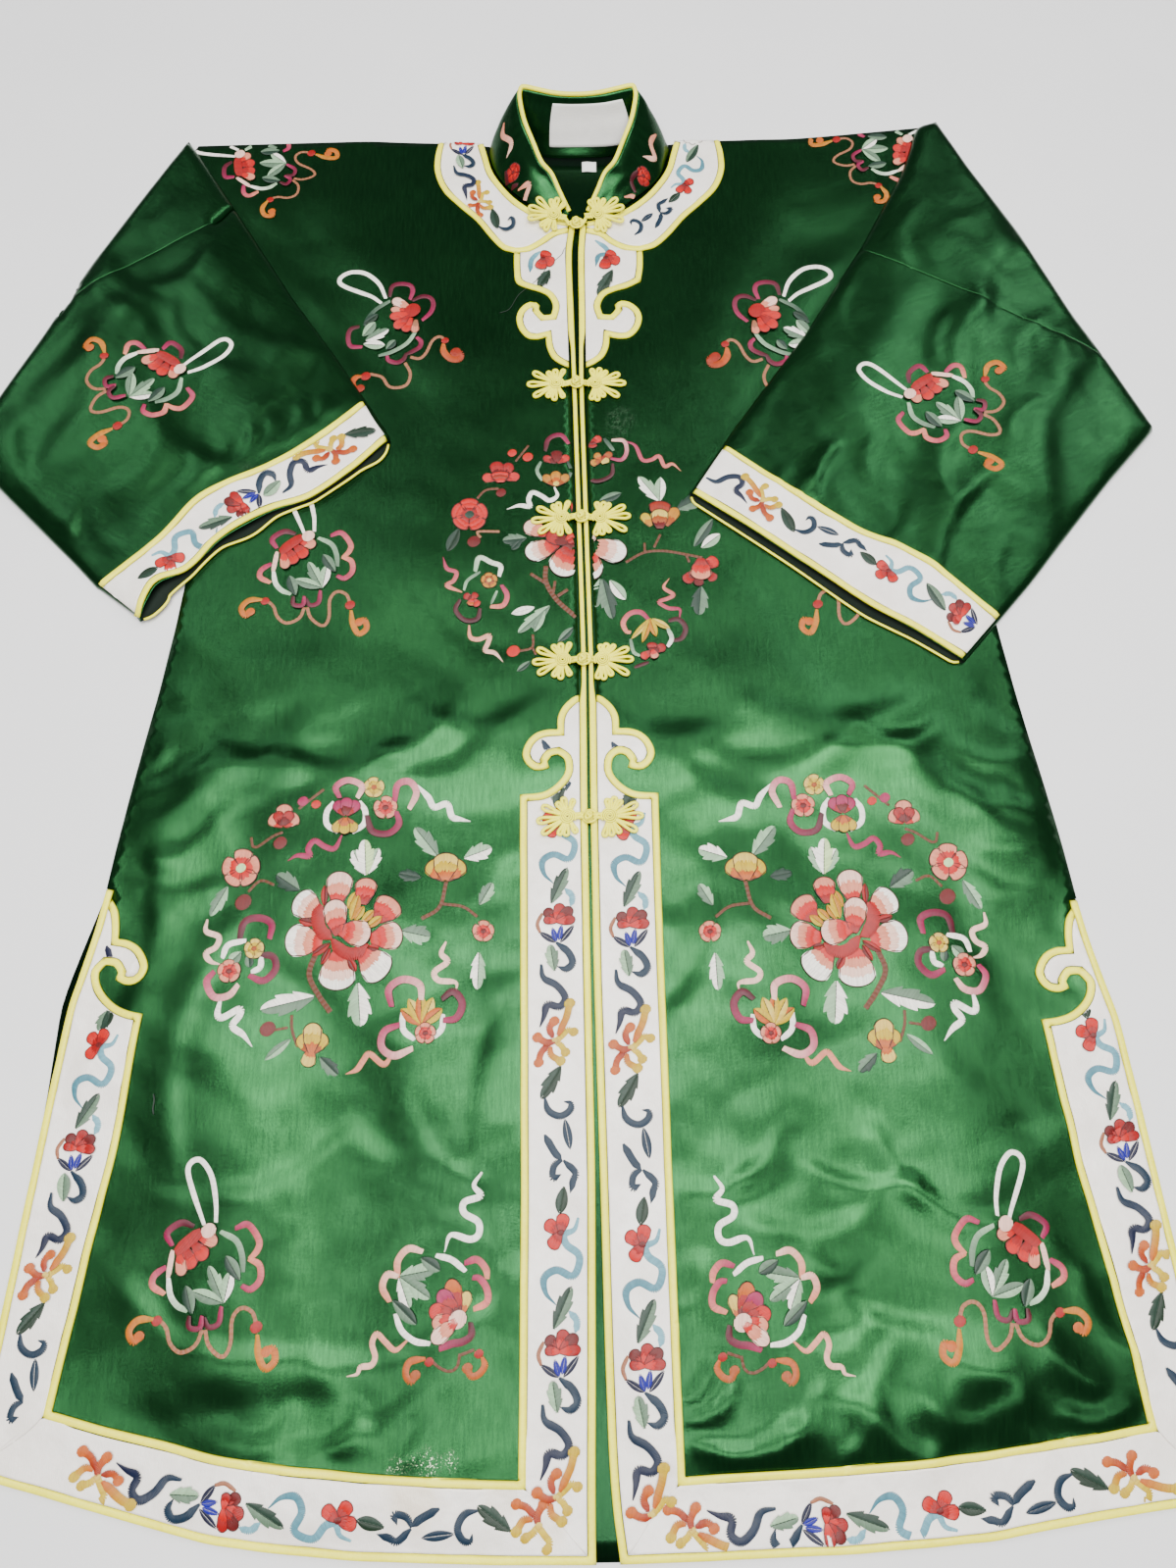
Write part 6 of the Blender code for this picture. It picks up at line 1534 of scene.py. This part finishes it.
    def work(self, rows, lay, size):
        """Works a motif, laid out by a function; what covers an earlier part is worked over it."""
        first = len(self.boxes)
        for kind, points, wide, names in rows:
            points = lay(np.array(points, float))
            if points is None:
                continue
            reach = wide * size * (0.5 if kind in ("flower", "dot") else 0.25)
            low, high = points.min(0) - reach, points.max(0) + reach
            under = [level for a, b, level in self.boxes[first:] if (a < high).all() and (b > low).all()]
            self.layer = min(max(under, default=-1) + 1, TOP_LAYER)
            self.boxes.append((low + 1.0, high - 1.0, self.layer))
            getattr(self, kind)(points, wide * size, [THREADS[name] for name in names.split()])

    def motif(self, rows, x, y, turn, size, mirror):
        """Works a motif at a place, turned, sized and mirrored."""
        c, s = math.cos(math.radians(turn)) * size, math.sin(math.radians(turn)) * size
        self.work(rows, lambda p: np.stack((x + mirror * p[:, 0] * c - p[:, 1] * s,
                                            y + mirror * p[:, 0] * s + p[:, 1] * c), 1), size)

    def border(self, mark, size, line):
        """Works the border's strip along a line, on and on until the line ends."""
        line = soft_curve(line, 1.0)
        run, ahead = run_of(line), ahead_of(line)

        def lay(points):
            at = (points[:, 1] - mark) * size
            if at.min() < -4 or at.max() > run[-1] + 4:
                return None
            spot, way = read_at(at, run, line), read_at(at, run, ahead)
            past = at - np.clip(at, 0, run[-1])
            return spot + way * past[:, None] + left_of(way) * points[:, :1] * size

        first = len(self.stitches)
        for unit in range(-1, 3):
            self.work([(kind, [(u, s + unit * STRIP_LONG) for u, s in points], wide, names)
                       for kind, points, wide, names in STRIP], lay, size)
        middles = np.array(self.stitches[first:])
        middles = (middles[:, 0:2] + middles[:, 2:4]) / 2
        on_white = np.any([inside(middles, ring) for ring in bands.values()], axis=0)
        self.stitches[first:] = [stitch for stitch, kept in zip(self.stitches[first:], on_white) if kept]

    def finish(self, name, covers=(), over=0.0):
        """One piece from all the stitches; those past the cloth, or far under a cover, are left out."""
        rows = np.array(self.stitches)
        for cover in covers:
            middle = (rows[:, 0:2] + rows[:, 2:4]) / 2
            rows = rows[~(inside(middle, cover) & (away_from(middle, runs_of(cover)) > HIDDEN_BY))]
        start, end, wide = rows[:, 0:2], rows[:, 2:4], rows[:, 4]
        way = end - start
        side = left_of(way) / np.maximum(np.linalg.norm(way, axis=1, keepdims=True), 1e-6)
        level = over + STITCH_LIFT + LAYER_LIFT * rows[:, 8]
        spots, heights = [], []
        for t, full in ((0.0, 0.25), (0.3, 1.0), (0.7, 1.0), (1.0, 0.25)):
            for across in (-0.5, 0.0, 0.5):
                spots.append(start + way * t + side * (across * wide * (0.6 + 0.4 * full))[:, None])
                top = full * STITCH_HIGH * np.minimum(wide, 1.0) * (across == 0)
                heights.append(level + top - (STITCH_SUNK if full < 1 else 0.0))
        spots, heights = np.stack(spots, 1), np.stack(heights, 1)
        points, colours = [], []
        for row, (places, lifts) in enumerate(zip(spots, heights)):
            found = []
            for (x, y), lift in zip(places, lifts):
                hit, normal = self.under(x, y)
                if hit is None:
                    break
                up = 1 if normal.z > 0 else -1
                found.append(np.array(hit) / MM - NECK + np.array(normal) * lift * up)
            if len(found) == 12:
                points += found
                plain = (rows[row, 5:8] / 255) ** 2.2
                deep = DEEPER + (0.95 - DEEPER) * plain.min() / plain.max()
                colours.append(np.clip(plain.mean() + STRONGER * (plain - plain.mean()), 0.002, 1) * deep)
        corners = [12 * n + 3 * i + j for n in range(len(colours)) for i in range(3) for j in range(2)]
        faces = [(k, k + 1, k + 4, k + 3) for k in corners]
        worked = make(name, points, faces, SILK)
        shade = worked.data.color_attributes.new("thread", "FLOAT_COLOR", "POINT")
        colours = np.repeat(np.column_stack((colours, np.ones(len(colours)))), 12, axis=0)
        shade.data.foreach_set("color", colours.ravel().astype(np.float32))
        wear(worked, "embroidery_thread")


def silk_thread():
    silk = Finish("silk_thread", Roughness=0.46, Specular_IOR_Level=0.35)
    silk.feed(Base_Color=silk.add("ShaderNodeAttribute", {"attribute_name": "thread"}).outputs["Color"])
    silk.relief(silk.noise(silk.where(), 900.0, 2.0, 0.6), 0.0002, 0.4)
    return silk.material


SILK = silk_thread()

FRONT_PARTS = "front", "yoke", "chest_cloud", "front_band", "hem_band", "side_band"
SLEEVE_PARTS = "sleeve_top", "sleeve", "cuff"
sewn_on = {side: [f"{part}_{side}_satin" for part in FRONT_PARTS] for side in ("left", "right")}
sewn_on["both"] = sewn_on["left"] + sewn_on["right"]
sewn_on["collar"] = ["collar_satin"]
for side in ("left", "right"):
    sewn_on[f"{side}_sleeve"] = [f"{part}_{side}_satin" for part in SLEEVE_PARTS]
for ground, names in sewn_on.items():
    needle = Needle(*names)
    for _, *motif in (row for row in PLACES if row[0] == ground):
        needle.motif(*motif)
    for _, *border in (row for row in BORDERS if row[0] == ground):
        needle.border(*border)
    needle.finish(f"embroidery_{ground}", [] if ground.endswith("sleeve") or ground == "collar" else shadow,
                  COLLAR_WALL / 2 if ground == "collar" else 0.0)

# Frog fastenings: fine cord of the same yellow satin, bent in long and short loops round a coil, with
# a knotted ball on one half that goes through a loop of the other. All five are done up.
KNOTS = [
    # x, y and height of the knot; height of its frogs, slope, rise over the knot, turn, looseness
    (-3.8, -107.7, 10.2, 8.6, 0.176, 7.0, 0.30, 1.1),
    (-5.6, -257.0, 9.1, 3.6, 0.0, 0.0, 0.0, 0.8),
    (-3.3, -374.0, 9.1, 3.6, 0.0, 0.0, 0.0, 0.8),
    (-3.5, -490.0, 9.1, 3.6, 0.0, 0.0, 0.0, 0.8),
    (-0.9, -608.6, 9.1, 5.1, 0.0, 0.0, 0.0, 0.8),
]
FROG_LOOPS = {
    # tip of each loop from the middle of the coil, outwards and up, and its width
    "left": [(-5.6, 13.8, 4.8), (2.0, 14.6, 5.5), (7.6, 12.4, 5.0), (18.8, 10.1, 6.3), (23.3, -1.2, 6.6),
             (19.1, -11.6, 6.1), (8.2, -12.8, 5.0), (2.0, -15.2, 5.5), (-5.6, -13.5, 5.0)],
    "right": [(-2.4, 13.4, 5.0), (3.9, 14.2, 5.5), (9.4, 12.0, 4.8), (20.2, 9.8, 6.3), (24.2, 0.3, 6.6),
              (20.0, -11.3, 6.3), (8.6, -13.4, 5.0), (2.5, -15.8, 5.5), (-3.4, -15.0, 5.3)],
}
COIL_FROM_KNOT, CORD, COIL_CORD, COIL_ROUND, COIL_TURNS, COIL_HOLE = 14.6, 1.25, 0.70, 6.4, 3.6, 0.5
LOOPS_FROM, OVER_STITCHES, NECK_WIDER, COIL_SHIFT, TURN_SHIFT = 3.6, 0.3, 3.0, 0.5, 0.09
BALL_ROUND, BALL_CORD, RING_CORD, RING_ROUND = 2.75, 1.15, 0.95, (4.9, 4.3)

worked_cloth = Needle(*sewn_on["both"])


def merged(name, parts, look):
    """One piece of several cords."""
    points, faces = [], []
    for some, sides in parts:
        faces += [tuple(len(points) + k for k in face) for face in sides]
        points += list(some)
    return make(name, points, faces, look)


def frog_half(side, middle, lift, slope, turn, loose):
    """Cords of one half: the loops, the coil over them, and two cords towards the knot."""
    way = -1 if side == "left" else 1
    dice = random.Random(round(abs(middle[1])) * 2 + (way > 0))

    def lay(points):
        points = np.array(points, float)
        c, s = math.cos(turn), math.sin(turn)
        x, y = points[:, 0] * c - points[:, 1] * s, points[:, 0] * s + points[:, 1] * c
        spots = np.column_stack((middle[0] + way * x, middle[1] + y, lift + points[:, 2] + y * slope))
        for spot, rise in zip(spots, points[:, 2]):
            hit = worked_cloth.under(spot[0], spot[1])[0]
            if hit is not None:
                spot[2] = max(spot[2], hit.z / MM + OVER_STITCHES + rise)
        return spots

    parts = []
    for tip_x, tip_y, wide in FROG_LOOPS[side]:
        tip_x, tip_y = tip_x + dice.uniform(-loose, loose), tip_y + dice.uniform(-loose, loose)
        long = math.hypot(tip_x, tip_y)
        ahead = np.array((tip_x, tip_y)) / long
        across = left_of(ahead)
        path = []
        for t in np.linspace(0, 1, 26):
            angle = math.pi * (2 * t - 1)
            reach = LOOPS_FROM + (long - CORD - LOOPS_FROM) * (0.5 + 0.5 * math.cos(angle)) ** 0.8
            opened = smooth((reach - LOOPS_FROM) / (long - LOOPS_FROM - 1.0))
            spread = (0.16 + 0.84 * opened) * (wide / 2 - CORD * 0.8)
            swing = math.sin(angle) / max(abs(math.sin(angle)), 0.35)
            flat = ahead * reach + across * spread * swing * min(1.0, 4 * (1 - reach / long) + 0.25)
            path.append((*flat, CORD + 0.35 * (1 - reach / long) + dice.uniform(0, 0.06)))
        parts.append(tube("", lay(path), CORD, YELLOW, 7))
    coil = []
    for t in np.linspace(0, 1, 120):
        angle = 2 * math.pi * COIL_TURNS * t
        r = COIL_HOLE + (COIL_ROUND - COIL_CORD - COIL_HOLE) * t
        coil.append((r * math.cos(angle), r * math.sin(angle), 2.7 + 1.3 * (1 - t ** 2)))
    parts.append(tube("", lay(coil), COIL_CORD, YELLOW, 6))
    for offset in (-1.0, 1.0):
        stem = [(-4.0, offset * 1.4, 1.6), (-7.0, offset * 1.3, 2.2), (-10.5, offset * 1.0, 3.4)]
        parts.append(tube("", lay(stem), CORD, YELLOW, 7))
    return parts


def ball(at, lift):
    """The ball: one cord worked over and under itself round a sphere."""
    path = []
    for u in np.linspace(0, 2 * math.pi, 200, endpoint=False):
        high = 0.95 * math.sin(4 * u)
        r = BALL_ROUND + 0.35 * math.cos(8 * u + 0.7)
        around = r * math.cos(high)
        path.append((at[0] + r * math.sin(high), at[1] + around * math.cos(3 * u),
                     lift + around * math.sin(3 * u)))
    return tube("", path, BALL_CORD, YELLOW, 7, closed=True)


for number, (x, y, middle, lift, slope, rise, lean, loose) in enumerate(KNOTS, 1):
    for side, way in (("left", -1), ("right", 1)):
        shift = NECK_WIDER if number == 1 else random.Random(number).uniform(-COIL_SHIFT, COIL_SHIFT)
        turn = lean + random.Random(3 * number + way).uniform(-TURN_SHIFT, TURN_SHIFT)
        coil = x + way * (COIL_FROM_KNOT + shift), y + rise
        half = frog_half(side, coil, lift, slope, turn, loose)
        wear(merged(f"frog_{number}_{side}_cord", half, YELLOW), "yellow_piping", f"frog_{number}_{side}")
    ring = [(x + RING_ROUND[0] * math.cos(a) + 0.8, y + RING_ROUND[1] * math.sin(a),
             middle - 1.6 + 0.5 * math.cos(a)) for a in np.linspace(0, 2 * math.pi, 36, endpoint=False)]
    cords = [ball((x, y), middle), tube("", ring, RING_CORD, YELLOW, 7, closed=True)]
    for way in (-1, 1):
        for offset in (-1.0, 1.0):
            path = [(x + way * 3.4, y + offset, middle - 0.6),
                    (x + way * 5.8, y + offset * 1.2, middle - 2.2),
                    (x + way * 8.6, y + offset * 1.2 + rise * 0.4, lift + 2.6)]
            cords.append(tube("", path, RING_CORD, YELLOW, 7))
    wear(merged(f"knot_{number}_cord", cords, YELLOW), "yellow_piping", f"knot_{number}")

# Loose ends: one dark thread left lying from the neck over the cloud, and a short pulled thread.
dark_thread = Finish("dark_thread", Base_Color=(0.012, 0.02, 0.015, 1.0), Roughness=0.6)
trail = [(-9, -124), (-16, -136), (-27, -147), (-36, -160), (-50, -172), (-58, -186), (-66, -190)]
snag = [(-290.5, -793), (-289.5, -797), (-290, -802), (-289.2, -806)]
for name, path, thick in (("loose_thread", trail, 0.24), ("pulled_thread", snag, 0.5)):
    spots = []
    for x, y in soft_curve(np.array(path, float), 1.5):
        hit = worked_cloth.under(x, y)[0]
        if hit is not None:
            spots.append((x, y, hit.z / MM + thick * 0.6 + (2.6 if abs(x + 9) < 6 and y > -150 else 0.3)))
    wear(tube(name, spots, thick, dark_thread.material, 6), "embroidery_thread")

# Label and size tab: woven cotton tape, bare, sewn inside the back of the collar and just below it.
LABEL_STATIONS, LABEL_RISES, LABEL_LEVEL, LABEL_WALL, LABEL_RIPPLE = (-1, 2), (0.15, 0.8), 1.9, 0.6, 0.5
TAB_MIDDLE, TAB_HALF, TAB_WALL = (8.0, -46.0), (6.0, 4.5), 0.4
TAB_WIDE, TAB_LONG = 11, 9


def bare_tape():
    tape = Finish("woven_label", Roughness=0.75, Sheen_Weight=0.2)
    at = tape.where()
    tape.feed(Base_Color=tape.mix(tape.noise(at, 90.0, 3.0), (0.66, 0.645, 0.62), (0.78, 0.77, 0.75)))
    ribs = tape.noise(at, 900.0, 1.0, 0.4, stretch=(0.35, 2.2, 1.0))
    grain = tape.noise(at, 1500.0, 1.0, 0.4)
    tape.relief(ribs * 0.6 + grain * 0.4, 0.0003, 0.7)
    return tape.material


TAPE = bare_tape()
label = collar_sheet("label_tape", TAPE, np.linspace(*LABEL_STATIONS, 31), np.linspace(*LABEL_RISES, 17),
                     LABEL_LEVEL, LABEL_WALL, LABEL_RIPPLE)
wear(label, "woven_label", "label")
tab_flat = [(TAB_MIDDLE[0] + TAB_HALF[0] * u, TAB_MIDDLE[1] + TAB_HALF[1] * v)
            for v in np.linspace(-1, 1, TAB_LONG) for u in np.linspace(-1, 1, TAB_WIDE)]
tab_points = np.array([(x, y, 2.3 + 0.25 * math.sin((x - 3) * 0.5) + 0.12 * (y + 50) * (y > TAB_MIDDLE[1]))
                       for x, y in tab_flat])
corners = [TAB_WIDE * i + j for i in range(TAB_LONG - 1) for j in range(TAB_WIDE - 1)]
tab_faces = [(k, k + 1, k + TAB_WIDE + 1, k + TAB_WIDE) for k in corners]
tab = thicken(make("size_tab_tape", tab_points, tab_faces, TAPE), TAB_WALL)
wear(tab, "woven_label", "size_tab")
